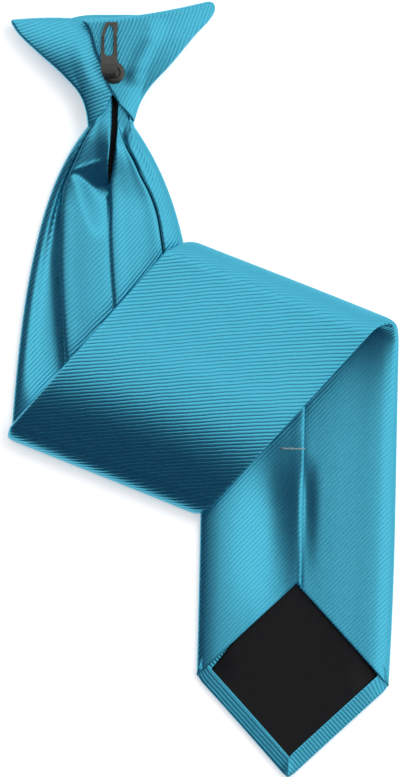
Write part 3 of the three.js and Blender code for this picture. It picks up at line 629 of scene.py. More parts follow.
# %% Edges of the V
flap_ends = []
back_columns = np.where(stations[-1].on_back)[0]
middle_column = blade_points.shape[1] // 2
for columns in (back_columns[back_columns < middle_column], back_columns[back_columns > middle_column]):
    edge = blade_points[-1][columns]
    starts_at_seam = abs(stations[-1].x[columns[0]]) < BLADE_WIDTH / 4
    seam_end, corner = (edge[0], edge[-1]) if starts_at_seam else (edge[-1], edge[0])
    along_edge = (corner - seam_end)[:2] / np.linalg.norm((corner - seam_end)[:2])
    normal = np.array([along_edge[1], -along_edge[0]])
    outward = np.tile(normal * np.sign(normal @ last.ahead), (len(edge), 1))
    to_corner = np.linalg.norm((edge - corner)[:, :2], axis=1)
    turned = turned_edge(
        edge,
        cloth[-1][columns],
        outward,
        width=np.minimum(TURN_UNDER, 0.7 * to_corner),
        height=edge[:, 2] - 0.9 * ease(0, 6, to_corner),
        bulge=0.45 * ease(0, 3, to_corner),
        on_back=True,
    )
    flap_ends.append((columns, *turned))
print("flap ends:", [end[1].shape[:2] for end in flap_ends])

# %% Put the blade together
CLOTH_THICKNESS = 0.00045  # in metres, as Blender's modifiers take it

points, faces = [], []
numbers = add_grid(points, faces, blade_points, 0)
flat = [np.column_stack([cloth.reshape(-1, 2), np.zeros(numbers.size)])]
count = numbers.size
for columns, turned, turned_cloth in [(front_columns, hem_points, hem_cloth), *flap_ends]:
    turned_numbers = count + np.arange(turned.shape[0] * turned.shape[1]).reshape(turned.shape[:2])
    count += turned_numbers.size
    points.append(turned.reshape(-1, 3))
    flat.append(np.column_stack([turned_cloth.reshape(-1, 2), np.full(turned_numbers.size, IRONED)]))
    stack = np.vstack([numbers[-1][columns], turned_numbers])
    quads = np.stack([stack[:-1, :-1], stack[:-1, 1:], stack[1:, 1:], stack[1:, :-1]], axis=-1)
    faces.append(quads.reshape(-1, 4))
blade = make_mesh("shell_cloth", np.vstack(points), np.vstack(faces).tolist(), np.vstack(flat))
solid = blade.modifiers.new("cloth thickness", "SOLIDIFY")
solid.thickness, solid.offset = CLOTH_THICKNESS, -1
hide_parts("blade")

# %% [markdown]
# ## Tipping and slit lining
#
# Inside the point lies a piece of black satin, and the same dark lining shows in the slit below the
# knot, where its black also stands as painted shade for the deep inside of the slit. They could be
# planes cut to shape. Four corners say as much, because all their edges lie under other cloth, so
# they are thin sheets over four corners that follow the blade.

# %% A flat lining
LINING_THICKNESS = 0.00035


def flat_sheet(name, outline, height, columns=24, rows=24, relief=0.0, sink=0.0):
    """A sheet over four corners, in order round it, with a little relief. Its first and third
    corners sink under the hems."""
    a, b, c, d = (np.asarray(p, float) for p in outline)
    s, t = np.meshgrid(np.linspace(0, 1, columns), np.linspace(0, 1, rows))
    s, t = s[..., None], t[..., None]
    plan = lerp(lerp(a, b, s), lerp(d, c, s), t)
    waves = relief * np.sin(5.1 * s + 2.2 * t) * np.sin(np.pi * s) * np.sin(np.pi * t)
    first, third = ease(0.25, 0.0, np.hypot(s, t)), ease(0.25, 0.0, np.hypot(1 - s, 1 - t))
    waves = waves - sink * np.maximum(first, third)
    grid = np.concatenate([plan, height + waves], axis=-1)
    points, faces = [], []
    add_grid(points, faces, grid, 0)
    sheet = make_mesh(name, np.vstack(points), np.vstack(faces).tolist(), plan.reshape(-1, 2))
    thick = sheet.modifiers.new("cloth thickness", "SOLIDIFY")
    thick.thickness, thick.offset = LINING_THICKNESS, 0
    return sheet


# %% Tipping
UNDER_HEM, ABOVE_V = 5.0, 8.0  # from the point's edge to the tipping, and how far it goes on up the V
inner = 1 - 2 * UNDER_HEM / BLADE_WIDTH
tip_inside = last_plan(np.array([0.0]), np.array([LAST_RUN - UNDER_HEM]))[0]
corner_inside = [last_plan(np.array([side * inner]), np.array([POINT_CORNER - 1.0]))[0] for side in (-1, 1)]
top_inside = last_plan(np.array([0.0]), np.array([POINT_CORNER - BLADE_WIDTH / 2 - ABOVE_V]))[0]
tipping = flat_sheet(
    "tipping_satin",
    [corner_inside[0], tip_inside, corner_inside[1], top_inside],
    height=2.1,
    columns=60,
    rows=60,
    relief=0.12,
    sink=1.3,
)
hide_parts("tipping")

# %% Slit lining
# The black sheet is the lining, and its black is also painted shade for the deep inside of the slit.
SLIT_LINING_HALF, SLIT_LINING_HEIGHT = 4, 1.1
slit_top, slit_end = (upper_plan(np.array([0.03]), t)[0][0] for t in (0.005, 0.3))
aside = np.array([SLIT_LINING_HALF, 0])
outline = [slit_top - aside, slit_top + aside, slit_end + aside, slit_end - aside]
slit = flat_sheet("slit_satin", outline, SLIT_LINING_HEIGHT)
places = np.empty(len(slit.data.vertices) * 3)
slit.data.vertices.foreach_get("co", places)
places = places.reshape(-1, 3)
places[:, 2] += 0.001 * MOUTH_LIFT * (1 - ease(-2, 34, -(places[:, 1] * 1000 - MOUTH[1])))
slit.data.vertices.foreach_set("co", places.ravel())
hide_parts("slit_lining")

# %% [markdown]
# ## The knot's back
#
# On the back of the knot two ends of cloth are wrapped over each other, the right one on top, and
# each runs out into a padded wing that goes under the collar. A thickened plane would have square
# edges. Each wrap is a quilt instead: one upper face and one lower face over the same plan, whose
# distance falls to nothing at the rim in a quarter round, so the folded edges look soft.

# %% The wraps' outlines
WING_REACH, KNOT_TOP_HALF, WRAP_LIFT, WRAP_THICKNESS, WING_DROP = 43.0, 19.5, 13.4, 2.0, 3.0
LEFT_WRAP = [
    {"along": 0.0, "outer": 1.035, "outer_y": 0.965, "inner": -0.92, "inner_y": 0.965},
    {"along": 0.14, "outer": 0.93, "outer_y": 0.845, "inner": -0.66, "inner_y": 0.84},
    {"along": 0.34, "outer": 0.69, "outer_y": 0.675, "inner": -0.4, "inner_y": 0.7},
    {"along": 0.54, "outer": 0.355, "outer_y": 0.46, "inner": -0.1, "inner_y": 0.57},
    {"along": 0.7, "outer": 0.155, "outer_y": 0.3, "inner": 0.2, "inner_y": 0.42},
    {"along": 0.85, "outer": 0.07, "outer_y": 0.15, "inner": -0.04, "inner_y": 0.295},
    {"along": 1.0, "outer": 0.035, "outer_y": -0.012, "inner": -0.38, "inner_y": 0.15},
]
RIGHT_WRAP = [
    {"along": 0.0, "outer": 1.04, "outer_y": 1.155, "inner": -1.37, "inner_y": 0.955},
    {"along": 0.14, "outer": 0.955, "outer_y": 1.0, "inner": -1.1, "inner_y": 0.86},
    {"along": 0.34, "outer": 0.72, "outer_y": 0.81, "inner": -0.85, "inner_y": 0.67},
    {"along": 0.54, "outer": 0.43, "outer_y": 0.56, "inner": -0.58, "inner_y": 0.54},
    {"along": 0.72, "outer": 0.16, "outer_y": 0.35, "inner": -0.31, "inner_y": 0.37},
    {"along": 0.86, "outer": 0.035, "outer_y": 0.2, "inner": -0.04, "inner_y": 0.285},
    {"along": 1.0, "outer": -0.04, "outer_y": 0.035, "inner": 0.26, "inner_y": 0.19},
]


def rounded(n):
    """Steps from 0 to 1 that crowd together at both ends, where the rim turns."""
    return (1 - np.cos(np.linspace(0, np.pi, n))) / 2


def wrap_plan(table, side, rise, s, t):
    outer_x = side * lerp(MOUTH_WIDTH / 2, WING_REACH, read(table, "outer", t))
    outer_y = read(table, "outer_y", t) * KNOT_HEIGHT
    inner_x = read(table, "inner", t) * MOUTH_WIDTH / 2
    inner_y = read(table, "inner_y", t) * KNOT_HEIGHT
    x = lerp(inner_x, outer_x, s)
    y = lerp(inner_y, outer_y, s) + rise * np.sin(np.pi * s) * (1 - ease(0, 0.5, t))
    return x, y


def wing_drop(x):
    return WING_DROP * (np.abs(x) / WING_REACH) ** 2.6


def waist_half(y):
    """Half the knot's width at this height, where it narrows to its mouth."""
    return MOUTH_WIDTH / 2 + 14 * np.clip(y / KNOT_HEIGHT, 0, 1) ** 1.7


def waist_roll(x, y):
    """How far the wraps roll down round the sides of the knot near its mouth."""
    aside = np.clip(np.abs(x + MOUTH_SHIFT) / waist_half(y), 0, 1.1)
    return np.where(x < 0, 0.9, 1.3) * (1 - ease(0, 38, y)) * aside**3


def round_corner(s, t, size_s, size_t):
    """Moves a grid's steps so that its corner at s = 1, t = 0 becomes a quarter round."""
    d = np.maximum((s - 1 + size_s) / size_s, 0)
    e = np.maximum((size_t - t) / size_t, 0)
    both = (d > 0) & (e > 0)
    s = np.where(both, 1 - size_s + size_s * d * np.sqrt(1 - e * e / 2), s)
    t = np.where(both, size_t - size_t * e * np.sqrt(1 - d * d / 2), t)
    return s, t


RIM_RADIUS = 1.5  # how far from its rim a wrap has its full thickness


def wrap_mesh(name, table, side, rise, tip, top, ribs, columns=72, rows=76):
    """A quilted wrap: tip is how much of its outer corner is round, top gives its upper face."""
    s, t = np.meshgrid(rounded(columns), rounded(rows))
    soft_s, soft_t = round_corner(s, t, *tip)
    x, y = wrap_plan(table, side, rise, soft_s, soft_t)
    wide = np.hypot(np.gradient(x, axis=1), np.gradient(y, axis=1)).sum(axis=1, keepdims=True)
    tall = np.hypot(np.gradient(x, axis=0), np.gradient(y, axis=0)).sum(axis=0, keepdims=True)
    to_rim = np.minimum.reduce([s * wide, (1 - s) * wide, t * tall, (1 - t) * tall])
    rim = np.sqrt(np.clip(1 - (1 - np.clip(to_rim / RIM_RADIUS, 0, 1)) ** 2, 0, 1))
    thickness = WRAP_THICKNESS * (1 + 0.6 * np.clip((np.abs(x) - KNOT_TOP_HALF) / 12, 0, 1))
    middle_face = top(x, y, s, t) - waist_roll(x, y) - thickness / 2
    points, faces = [], []
    sheets = [np.stack([x, y, middle_face + way * thickness / 2 * rim], axis=-1) for way in (1, -1)]
    up = add_grid(points, faces, sheets[0], 0)
    add_grid(points, faces, sheets[1], up.size)
    faces[-1] = faces[-1][:, ::-1]
    if side > 0:
        faces = [f[:, ::-1] for f in faces]
    across = np.concatenate([ribs(x, y)] * 2).reshape(-1, 2)
    piece = make_mesh(name, np.vstack(points), np.vstack(faces).tolist(), across)
    weld = piece.modifiers.new("close the rim", "WELD")
    weld.merge_threshold = 0.00002
    return piece


def straight_ribs(degrees, bend=0.0, about=(0.0, 0.0)):
    """Ribs at this angle from X, which turn by bend degrees for each millimetre to the right."""
    def ribs(x, y):
        angle = np.radians(degrees)
        dx, dy = x - about[0], y - about[1]
        across = -dx * np.sin(angle) + dy * np.cos(angle)
        along = dx * np.cos(angle) + dy * np.sin(angle)
        return np.stack([across - np.radians(bend) / 2 * along * along, along], axis=-1)

    return ribs


# %% Left wrap
def left_top(x, y, s, t):
    edge = -0.5 * s**5 * (1 - ease(0.5, 0.8, t))
    pad = -0.0065 * np.maximum(y - 26, 0) ** 2
    under = -0.5 * ease(-15, -8, x + 0.3 * (y - 30)) * ease(14, 24, y)
    return WRAP_LIFT - WRAP_THICKNESS - 0.4 - 0.3 * wing_drop(x) + edge + pad + under


left_wrap = wrap_mesh(
    "left_wrap",
    LEFT_WRAP,
    side=-1,
    rise=0.9,
    tip=(0.05, 0.05),
    top=left_top,
    ribs=straight_ribs(21, bend=0.12, about=(-25, 30)),
)
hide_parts("knot_wrap_left")


# %% Right wrap
def right_top(x, y, s, t):
    """The cloth hangs in one soft drape from the wing's top edge down to the hook."""
    line = x - lerp(8.0, 17.5, np.clip((y - 22) / 18, 0, 1))
    drape = 1.0 * np.exp(-((line / 3.4) ** 2)) * ease(16, 26, y) * (1 - ease(36, 46, y))
    return WRAP_LIFT - wing_drop(x) + drape * (1 - ease(30, 40, x))


right_wrap = wrap_mesh(
    "right_wrap",
    RIGHT_WRAP,
    side=1,
    rise=-1.6,
    tip=(0.1, 0.12),
    top=right_top,
    ribs=straight_ribs(64, bend=0.25, about=(10, 28)),
)
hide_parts("knot_wrap_right")

# %% [markdown]
# ## The knot's front
#
# Seen from the other side, the knot is the familiar padded wedge. The photo doesn't show it. A block
# with round edges would have the size, but not the narrow waist. So it is a stack of rounded
# sections, wide at the top and narrow at the mouth, open on the back where the wraps close it.

# %% Knot front
KNOT_DEPTH, KNOT_LID = 8.6, 6.9
KNOT_PADDING = 0.001  # in metres
KNOT_SECTIONS = [
    {"along": 0.015, "half": 0.0, "lift": 0.8},
    {"along": 0.07, "half": 0.04, "lift": 0.0},
    {"along": 0.25, "half": 0.2, "lift": 0.0},
    {"along": 0.45, "half": 0.45, "lift": 0.0},
    {"along": 0.7, "half": 0.78, "lift": 0.0},
    {"along": 0.9, "half": 1.0, "lift": 0.5},
    {"along": 0.965, "half": 0.97, "lift": 2.4},
]


def knot_front_mesh():
    angle = np.linspace(0, np.pi, 60)
    rows = []
    for t in np.linspace(KNOT_START, KNOT_END, 48):
        half = lerp(MOUTH_WIDTH / 2 - 1.7, KNOT_TOP_HALF, read(KNOT_SECTIONS, "half", t))
        low = read(KNOT_SECTIONS, "lift", t) + 1.0
        x = half * np.sign(np.cos(angle)) * np.abs(np.cos(angle)) ** 0.55
        rim = KNOT_DEPTH + 1.6 * ease(-6, 8, x) - lerp(4.4, 0.0, ease(6, 30, t * KNOT_HEIGHT))
        z = rim - (rim - low) * np.sin(angle) ** 0.6
        shift = MOUTH_SHIFT * (1 - ease(0, 0.6, t))
        rows.append(np.column_stack([x - shift, np.full_like(x, t * KNOT_HEIGHT), z]))
    end = rows[-1]
    for k in range(1, 9):
        turn = k / 8
        lifted = end.copy()
        lifted[:, 2] = lerp(end[:, 2], KNOT_LID, turn)
        lifted[:, 0] *= 1 - 0.08 * turn
        lifted[:, 1] += 1.1 * np.sin(np.pi * turn / 2)
        rows.append(lifted)
    for back in (0.8, 2.5, 5.0, 8.0):
        rows.append(rows[-1] + [0, -back, 0.0])
    for row in rows:
        aside = np.maximum(-row[:, 0] - 8, 0) / 10
        row[:, 1] -= 1.4 * ease(0.8, 0.97, row[:, 1] / KNOT_HEIGHT) * aside**2
    grid = np.stack(rows)
    points, faces = [], []
    add_grid(points, faces, grid, 0)
    flat = straight_ribs(45)(grid[..., 0], grid[..., 1] + grid[..., 2]).reshape(-1, 2)
    piece = make_mesh("knot_face", np.vstack(points), np.vstack(faces)[:, ::-1].tolist(), flat)
    thick = piece.modifiers.new("padding", "SOLIDIFY")
    thick.thickness, thick.offset = KNOT_PADDING, -1
    return piece


knot_face = knot_front_mesh()
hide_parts("knot_front")

# %% [markdown]
# ## The hook
#
# The hook is one strip of plated sheet metal: a slot is stamped in its upper half, its arms are bent
# where the slot begins to narrow, and its lower end is folded under and riveted with a round cap.
# A boolean could cut the slot. Leaving its faces out of the sheet gives cleaner edges, which the
# bevel can then round.

# %% Hook
HOOK_OUTLINE = [
    # y and x in millimetres from the knot's mouth, lift over the cloth
    {"y": 43.5, "left": -3.1, "slot_left": -1.6, "slot_right": -0.2, "right": 1.5, "lift": 1.1},
    {"y": 43.1, "left": -3.5, "slot_left": -1.8, "slot_right": -0.4, "right": 1.7, "lift": 1.2},
    {"y": 42.2, "left": -3.8, "slot_left": -2.0, "slot_right": -0.7, "right": 1.7, "lift": 1.4},
    {"y": 40.9, "left": -4.4, "slot_left": -3.0, "slot_right": -0.35, "right": 1.55, "lift": 1.8},
    {"y": 38.8, "left": -5.0, "slot_left": -3.7, "slot_right": -0.25, "right": 1.35, "lift": 2.6},
    {"y": 37.8, "left": -5.1, "slot_left": -3.85, "slot_right": -0.2, "right": 1.3, "lift": 2.9},
    {"y": 36.8, "left": -5.2, "slot_left": -3.9, "slot_right": -0.2, "right": 1.3, "lift": 2.85},
    {"y": 34.1, "left": -5.4, "slot_left": -4.0, "slot_right": -0.25, "right": 1.35, "lift": 2.8},
    {"y": 30.4, "left": -5.5, "slot_left": -4.0, "slot_right": -0.3, "right": 1.45, "lift": 2.9},
    {"y": 29.3, "left": -5.5, "slot_left": -2.8, "slot_right": -1.1, "right": 1.5, "lift": 3.0},
    {"y": 28.6, "left": -5.5, "slot_left": -2.9, "slot_right": -1.1, "right": 1.5, "lift": 3.1},
    {"y": 26.0, "left": -5.5, "slot_left": -3.2, "slot_right": -0.8, "right": 1.5, "lift": 3.3},
    {"y": 23.6, "left": -5.5, "slot_left": -3.2, "slot_right": -0.8, "right": 1.5, "lift": 3.3},
    {"y": 22.2, "left": -5.2, "slot_left": -3.2, "slot_right": -0.8, "right": 1.3, "lift": 3.2},
    {"y": 21.2, "left": -4.4, "slot_left": -3.0, "slot_right": -1.0, "right": 0.5, "lift": 2.9},
    {"y": 20.9, "left": -4.1, "slot_left": -3.0, "slot_right": -1.0, "right": 0.2, "lift": 2.3},
    {"y": 21.4, "left": -4.1, "slot_left": -3.0, "slot_right": -1.0, "right": 0.2, "lift": 1.7},
    {"y": 24.5, "left": -4.1, "slot_left": -3.0, "slot_right": -1.0, "right": 0.2, "lift": 1.5},
]
SLOT_ROWS = range(2, 9)  # the outline's steps in which the slot is open
SHEET_METAL, STAMPED_ROUND = 0.0007, 0.00014  # thickness and round of the edges, in metres


def hook_mesh(base):
    across = ("left", "slot_left", "slot_right", "right")
    grid = np.array([[(row[c], row["y"], base + row["lift"]) for c in across] for row in HOOK_OUTLINE])
    faces = []
    for r in range(len(HOOK_OUTLINE) - 1):
        for c in range(3):
            if not (c == 1 and r in SLOT_ROWS):
                a = r * 4 + c
                faces.append((a, a + 4, a + 5, a + 1))
    piece = make_mesh("hook_sheet", grid.reshape(-1, 3), faces)
    piece.data.polygons.foreach_set("use_smooth", [False] * len(faces))
    thick = piece.modifiers.new("sheet metal", "SOLIDIFY")
    thick.thickness, thick.offset = SHEET_METAL, 1
    rounded_edge = piece.modifiers.new("stamped edge", "BEVEL")
    rounded_edge.width, rounded_edge.segments = STAMPED_ROUND, 3
    rounded_edge.limit_method = "ANGLE"
    rounded_edge.angle_limit = np.radians(50)
    return piece


HOOK_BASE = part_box("hook_rivet")[0][2] * 1000
hook_sheet = hook_mesh(HOOK_BASE)
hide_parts("hook")


# %% Rivet cap
CAP_CENTRE, CAP_RADIUS = (-0.1, 22.4), 4.7
CAP_PROFILE = [  # shares of the cap's radius, and height over the cloth in millimetres
    {"radius": 0.0, "height": 0.85},
    {"radius": 0.5, "height": 0.85},
    {"radius": 0.52, "height": 0.7},
    {"radius": 0.58, "height": 1.25},
    {"radius": 0.64, "height": 1.3},
    {"radius": 0.88, "height": 1.0},
    {"radius": 0.96, "height": 0.75},
    {"radius": 1.0, "height": 0.2},
    {"radius": 0.96, "height": 0.0},
    {"radius": 0.0, "height": 0.0},
]


def cap_mesh(base, sides=72):
    angle = np.linspace(0, 2 * np.pi, sides, endpoint=False)
    rings = [
        np.column_stack([
            CAP_CENTRE[0] + CAP_RADIUS * ring["radius"] * np.cos(angle),
            CAP_CENTRE[1] + CAP_RADIUS * ring["radius"] * np.sin(angle),
            np.full(sides, base + ring["height"]),
        ])
        for ring in CAP_PROFILE
    ]
    points, faces = [], []
    add_grid(points, faces, np.stack(rings), 0, closed_across=True)
    piece = make_mesh("rivet_cap", np.vstack(points), np.vstack(faces)[:, ::-1].tolist())
    weld = piece.modifiers.new("close the middle", "WELD")
    weld.merge_threshold = 0.00001
    return piece


rivet_cap = cap_mesh(HOOK_BASE)
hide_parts("hook_rivet")

# %% [markdown]
# ## Threads
#
# A bar tack of grey thread holds the two back flaps together above the point. Its few strands cross
# the seam side by side. At this size a painted line would lie flat, so each strand is a curve with
# a round section, and they are made into one mesh at the end.

# %% Bar tack
TACK_FROM_APEX, TACK_LENGTH, THREAD_RADIUS = 55.0, 11.0, 0.17
STRAND_STEP = 0.22  # from strand to strand


def thread_curve(name, strands, radius):
    data = bpy.data.curves.new(name, "CURVE")
    data.dimensions = "3D"
    data.bevel_depth, data.bevel_resolution = radius / 1000, 3
    data.use_fill_caps = True
    for strand in strands:
        spline = data.splines.new("NURBS")
        spline.points.add(len(strand) - 1)
        for point, place in zip(spline.points, strand):
            point.co = (*((np.asarray(place) + MOUTH) / 1000), 1)
        spline.order_u, spline.use_endpoint_u = 3, True
    curve = bpy.data.objects.new(name + "_path", data)
    piece = bpy.data.objects.new(name, bpy.data.meshes.new_from_object(curve))
    bpy.data.objects.remove(curve)
    bpy.context.collection.objects.link(piece)
    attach(piece, "root")
    return piece


def bar_tack_strands():
    along = POINT_CORNER - BLADE_WIDTH / 2 - TACK_FROM_APEX
    seam = PLEATS[-1]["seam"] * BLADE_WIDTH / 2 + 0.5
    strands = []
    for k in range(3):
        xs = np.linspace(seam - TACK_LENGTH + 0.4 * k, seam + 0.5 - 0.2 * k, 9)
        plan = last_plan(xs / last.half, np.full(9, along + STRAND_STEP * (k - 1)))
        plan[:, 1] += 0.12 * np.sin(np.arange(9) * 2.1 + k)
        z = BLADE_THICKNESS + 0.7 + 0.25 * np.sin(np.pi * np.arange(9) / 8) ** 0.3
        z[[0, -1]] -= 0.9
        strands.append(np.column_stack([plan, z]))
    return strands


bar_tack = thread_curve("bar_tack", bar_tack_strands(), THREAD_RADIUS)

# %% [markdown]
# ## Materials
#
# Ribbed satin shines because its threads float over the ribs. Sheen is for napped cloth, and this
# cloth mirrors almost as rough metal does, so it is a metal with the cloth's colour. Two of the
# materials need the same ribs, so the ribs are a node group. It takes the place on the flat cloth
# and gives the ribs' height, a mask of the grooves between the ribs, which the materials darken
# with painted shade, and the small change of colour from thread to thread. Where the cloth is
# turned over and pressed, its third number takes part of the ribs' height away.

# %% Helpers for nodes
def socket(group, name, direction, kind, value=None):
    made = group.interface.new_socket(name, in_out=direction, socket_type=kind)
    if value is not None:
        made.default_value = value
    return made


def node(tree, kind, **settings):
    made = tree.nodes.new(kind)
    for key, value in settings.items():
        setattr(made, key, value)
    return made


def math(tree, operation, *values):
    made = node(tree, "ShaderNodeMath", operation=operation)
    for i, value in enumerate(values):
        if isinstance(value, (int, float)):
            made.inputs[i].default_value = value
        else:
            tree.links.new(value, made.inputs[i])
    return made.outputs[0]


# %% Rib weave group
RIB_PITCH, LINING_PITCH, THREAD_PITCH = 1.47, 0.35, 0.3  # in millimetres


def rib_weave_group():
    group = bpy.data.node_groups.new("rib weave", "ShaderNodeTree")
    socket(group, "Cloth", "INPUT", "NodeSocketVector")
    socket(group, "Rib pitch", "INPUT", "NodeSocketFloat", RIB_PITCH)
    socket(group, "Thread pitch", "INPUT", "NodeSocketFloat", THREAD_PITCH)
    for name in ("Height", "Groove", "Thread"):
        socket(group, name, "OUTPUT", "NodeSocketFloat")
    start, end = group.nodes.new("NodeGroupInput"), group.nodes.new("NodeGroupOutput")
    split = node(group, "ShaderNodeSeparateXYZ")
    group.links.new(start.outputs["Cloth"], split.inputs[0])
    wobble = node(group, "ShaderNodeTexNoise", noise_dimensions="3D")
    wobble.inputs["Scale"].default_value = 0.09
    wobble.inputs["Detail"].default_value = 1.0
    group.links.new(start.outputs["Cloth"], wobble.inputs["Vector"])
    drift = math(group, "MULTIPLY", math(group, "SUBTRACT", wobble.outputs[0], 0.5), 0.7)
    across = math(group, "ADD", split.outputs[0], drift)
    turns = math(group, "DIVIDE", across, start.outputs["Rib pitch"])
    wave = math(group, "ABSOLUTE", math(group, "SINE", math(group, "MULTIPLY", turns, np.pi)))
    unpressed = math(group, "SUBTRACT", 1.0, split.outputs[2])
    height = math(group, "MULTIPLY", math(group, "POWER", wave, 0.7), unpressed)
    # How deep a point lies in the grooves between the ribs; the materials use it for painted shade and
    # roughness.
    groove_shade = math(group, "POWER", math(group, "SUBTRACT", 1.0, wave), 1.6)
    threads = math(group, "DIVIDE", split.outputs[1], start.outputs["Thread pitch"])
    cross = math(group, "SINE", math(group, "MULTIPLY", threads, 2 * np.pi))
    number = math(group, "FLOOR", turns)
    grain = node(group, "ShaderNodeTexWhiteNoise", noise_dimensions="2D")
    cell = node(group, "ShaderNodeCombineXYZ")
    group.links.new(number, cell.inputs[0])
    group.links.new(math(group, "FLOOR", math(group, "DIVIDE", split.outputs[1], 1.1)), cell.inputs[1])
    group.links.new(cell.outputs[0], grain.inputs["Vector"])
    group.links.new(math(group, "ADD", height, math(group, "MULTIPLY", cross, 0.012)), end.inputs["Height"])
    group.links.new(groove_shade, end.inputs["Groove"])
    group.links.new(grain.outputs["Value"], end.inputs["Thread"])
    return group


RIB_WEAVE = rib_weave_group()
print("node group:", RIB_WEAVE.name)


# %% Ribbed satin
def mix_colour(tree, factor, a, b):
    mix = node(tree, "ShaderNodeMix", data_type="RGBA")
    for value, index in ((factor, 0), (a, 6), (b, 7)):
        if hasattr(value, "is_linked"):
            tree.links.new(value, mix.inputs[index])
        else:
            mix.inputs[index].default_value = value
    return mix.outputs[2]


def new_material(name):
    """A material with its node tree and its Principled BSDF."""
    material = bpy.data.materials.new(name)
    material.use_nodes = True
    return material, material.node_tree, material.node_tree.nodes["Principled BSDF"]


def dress(material, *pieces):
    for piece in pieces:
        piece.data.materials.append(material)
    print(material.name, "is on", [piece.name for piece in pieces])


def ribbed_satin(name, ridge, groove_shade, light):
    material, tree, shader = new_material(name)
    cloth = node(tree, "ShaderNodeAttribute", attribute_name="cloth")
    weave = node(tree, "ShaderNodeGroup", node_tree=RIB_WEAVE)
    tree.links.new(cloth.outputs["Vector"], weave.inputs["Cloth"])
    weave.inputs["Rib pitch"].default_value = RIB_PITCH
    weave.inputs["Thread pitch"].default_value = THREAD_PITCH
    patch = node(tree, "ShaderNodeTexNoise")
    patch.inputs["Scale"].default_value = 0.05
    tree.links.new(cloth.outputs["Vector"], patch.inputs["Vector"])
    shade = mix_colour(tree, math(tree, "MULTIPLY", patch.outputs[0], 0.25), ridge, light)
    shade = mix_colour(tree, math(tree, "MULTIPLY", weave.outputs["Thread"], 0.06), shade, light)
    # A darker colour in the grooves between the ribs: painted shade.
    shade = mix_colour(tree, math(tree, "MULTIPLY", weave.outputs["Groove"], 0.06), shade, groove_shade)
    tree.links.new(shade, shader.inputs["Base Color"])
    in_groove = math(tree, "MULTIPLY", weave.outputs["Groove"], 0.1)
    tree.links.new(math(tree, "ADD", 0.27, in_groove), shader.inputs["Roughness"])
    shader.inputs["Metallic"].default_value = 0.92
    bump = node(tree, "ShaderNodeBump")
    bump.inputs["Strength"].default_value = 1.0
    bump.inputs["Distance"].default_value = 0.0001
    tree.links.new(weave.outputs["Height"], bump.inputs["Height"])
    tree.links.new(bump.outputs[0], shader.inputs["Normal"])
    shader.inputs["Specular IOR Level"].default_value = 0.5
    return material


# The dark third colour is painted shade in the grooves between the ribs.
satin = ribbed_satin(
    "ribbed turquoise satin",
    ridge=(0.07, 0.45, 0.62, 1),
    groove_shade=(0.004, 0.08, 0.2, 1),
    light=(0.1, 0.52, 0.68, 1),
)
dress(satin, blade, left_wrap, right_wrap, knot_face)


# %% Black satin
def black_satin():
    material, tree, shader = new_material("black lining satin")
    cloth = node(tree, "ShaderNodeAttribute", attribute_name="cloth")
    weave = node(tree, "ShaderNodeGroup", node_tree=RIB_WEAVE)
    tree.links.new(cloth.outputs["Vector"], weave.inputs["Cloth"])
    weave.inputs["Rib pitch"].default_value = LINING_PITCH
    # The grooves between its fine ribs are a little darker: painted shade.
    shade = mix_colour(tree, weave.outputs["Groove"], (0.007, 0.007, 0.0075, 1), (0.003, 0.003, 0.0035, 1))
    tree.links.new(shade, shader.inputs["Base Color"])
    shader.inputs["Roughness"].default_value = 0.5
    shader.inputs["Specular IOR Level"].default_value = 0.2
    bump = node(tree, "ShaderNodeBump")
    bump.inputs["Strength"].default_value = 0.2
    bump.inputs["Distance"].default_value = 0.00005
    tree.links.new(weave.outputs["Height"], bump.inputs["Height"])
    tree.links.new(bump.outputs[0], shader.inputs["Normal"])
    return material


dress(black_satin(), tipping, slit)


# %% Gunmetal
def gunmetal():
    material, tree, shader = new_material("gunmetal plating")
    grain = node(tree, "ShaderNodeTexNoise")
    grain.inputs["Scale"].default_value = 900.0
    place = node(tree, "ShaderNodeTexCoord")
    tree.links.new(place.outputs["Object"], grain.inputs["Vector"])
    shade = mix_colour(tree, grain.outputs[0], (0.06, 0.058, 0.052, 1), (0.1, 0.095, 0.082, 1))
    tree.links.new(shade, shader.inputs["Base Color"])
    rough = math(tree, "MULTIPLY", grain.outputs[0], 0.15)
    tree.links.new(math(tree, "ADD", 0.3, rough), shader.inputs["Roughness"])
    shader.inputs["Metallic"].default_value = 0.7
    return material


dress(gunmetal(), hook_sheet, rivet_cap)


# %% Grey thread
def grey_thread():
    material, tree, shader = new_material("grey thread")
    place = node(tree, "ShaderNodeTexCoord")
    twist = node(tree, "ShaderNodeTexWave", bands_direction="DIAGONAL")
    twist.inputs["Scale"].default_value = 700.0
    tree.links.new(place.outputs["Object"], twist.inputs["Vector"])
    shade = mix_colour(tree, twist.outputs[1], (0.2, 0.33, 0.36, 1), (0.42, 0.58, 0.6, 1))
    tree.links.new(shade, shader.inputs["Base Color"])
    shader.inputs["Roughness"].default_value = 0.6
    return material


dress(grey_thread(), bar_tack)

# %% [markdown]
# ## Stage, lights and camera
#
# The photo looks straight down on a white surface. Satin shows its surroundings rather than a lamp,
# so the light is a tent: bright above and to the upper right, dim to the lower left. Cloth that
# leans to the right and up is bright in it, and cloth that leans the other way is dark. One lamp
# is added, which the satin doesn't mirror. It draws the faint shadow to the lower left.

# %% Stage
bpy.ops.mesh.primitive_plane_add(size=6, location=(0, 0, -0.0002))
floor = bpy.context.object
floor.name = "table"
paper, _, shader = new_material("white table")
shader.inputs["Base Color"].default_value = (0.92, 0.9, 0.88, 1)
shader.inputs["Roughness"].default_value = 0.9
shader.inputs["Emission Color"].default_value = (1, 1, 1, 1)
shader.inputs["Emission Strength"].default_value = 0.46
dress(paper, floor)


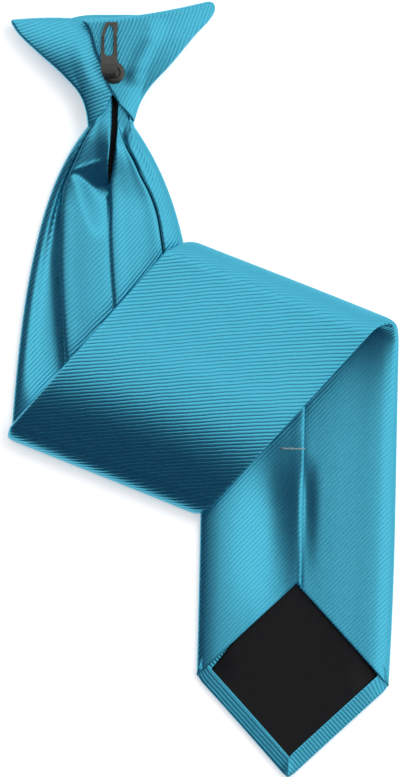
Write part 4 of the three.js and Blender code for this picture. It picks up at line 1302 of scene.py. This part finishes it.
# %% Lights
def soft_light(name, place, size, watts):
    data = bpy.data.lights.new(name, "AREA")
    data.shape, data.size, data.energy = "DISK", size, watts
    light = bpy.data.objects.new(name, data)
    light.location = place
    light.rotation_euler = (-Vector(place)).to_track_quat("-Z", "Y").to_euler()
    bpy.context.collection.objects.link(light)
    return light


lamp = soft_light("lamp", (0.36, 0.46, 0.7), 0.4, 2.2)
lamp.visible_glossy = False
print(lamp.name, "at", [round(c, 2) for c in lamp.location])


# %% Light tent
TENT = [  # from -1 at the dim side to 1 at the bright side, and the light's colour there
    (-0.2, (0.015, 0.035, 0.08)),
    (0.18, (1.42, 1.42, 1.42)),
    (0.5, (0.9, 0.92, 0.94)),
]


def studio_world(towards):
    """A light tent that is bright above and on one side, and open to a dim room on the other."""
    world = bpy.data.worlds.new("studio")
    world.use_nodes = True
    tree = world.node_tree
    place = node(tree, "ShaderNodeTexCoord")
    dot = node(tree, "ShaderNodeVectorMath", operation="DOT_PRODUCT")
    tree.links.new(place.outputs["Generated"], dot.inputs[0])
    dot.inputs[1].default_value = Vector(towards).normalized()
    ramp = node(tree, "ShaderNodeValToRGB")
    ramp.color_ramp.interpolation = "EASE"
    while len(ramp.color_ramp.elements) < len(TENT):
        ramp.color_ramp.elements.new(0.5)
    for element, (side, colour) in zip(ramp.color_ramp.elements, TENT):
        element.position, element.color = (side + 1) / 2, (*colour, 1)
    tree.links.new(math(tree, "MULTIPLY_ADD", dot.outputs["Value"], 0.5, 0.5), ramp.inputs[0])
    tree.links.new(ramp.outputs[0], tree.nodes["Background"].inputs["Color"])
    return world


bpy.context.scene.world = studio_world((0.64, 0.77, 0))
print("the tent has", len(TENT), "tones")
bpy.context.scene.view_settings.view_transform = "Standard"

# %% Camera
MM_PER_PIXEL, PICTURE = 0.42, (400, 777)
FRAME_PIXEL = (203.5, 388)  # the frame's origin in the picture
HALF_HEIGHT = 0.009  # in metres. The picture's scale holds at half the tie's height.
camera_data = bpy.data.cameras.new("camera")
camera_data.lens = 700  # so long that the view is almost parallel
camera_data.sensor_width = 36
camera = bpy.data.objects.new("camera", camera_data)
tall = PICTURE[1] * MM_PER_PIXEL / 1000
distance = tall / 2 / (camera_data.sensor_width / 2 / camera_data.lens)
middle_of_picture = (
    (PICTURE[0] / 2 - FRAME_PIXEL[0]) * MM_PER_PIXEL / 1000,
    (FRAME_PIXEL[1] - PICTURE[1] / 2) * MM_PER_PIXEL / 1000,
)
camera.location = (*middle_of_picture, distance + HALF_HEIGHT)
bpy.context.collection.objects.link(camera)
bpy.context.scene.camera = camera
print("camera at", [round(c, 3) for c in camera.location])

# %% Finish
bpy.context.view_layer.update()
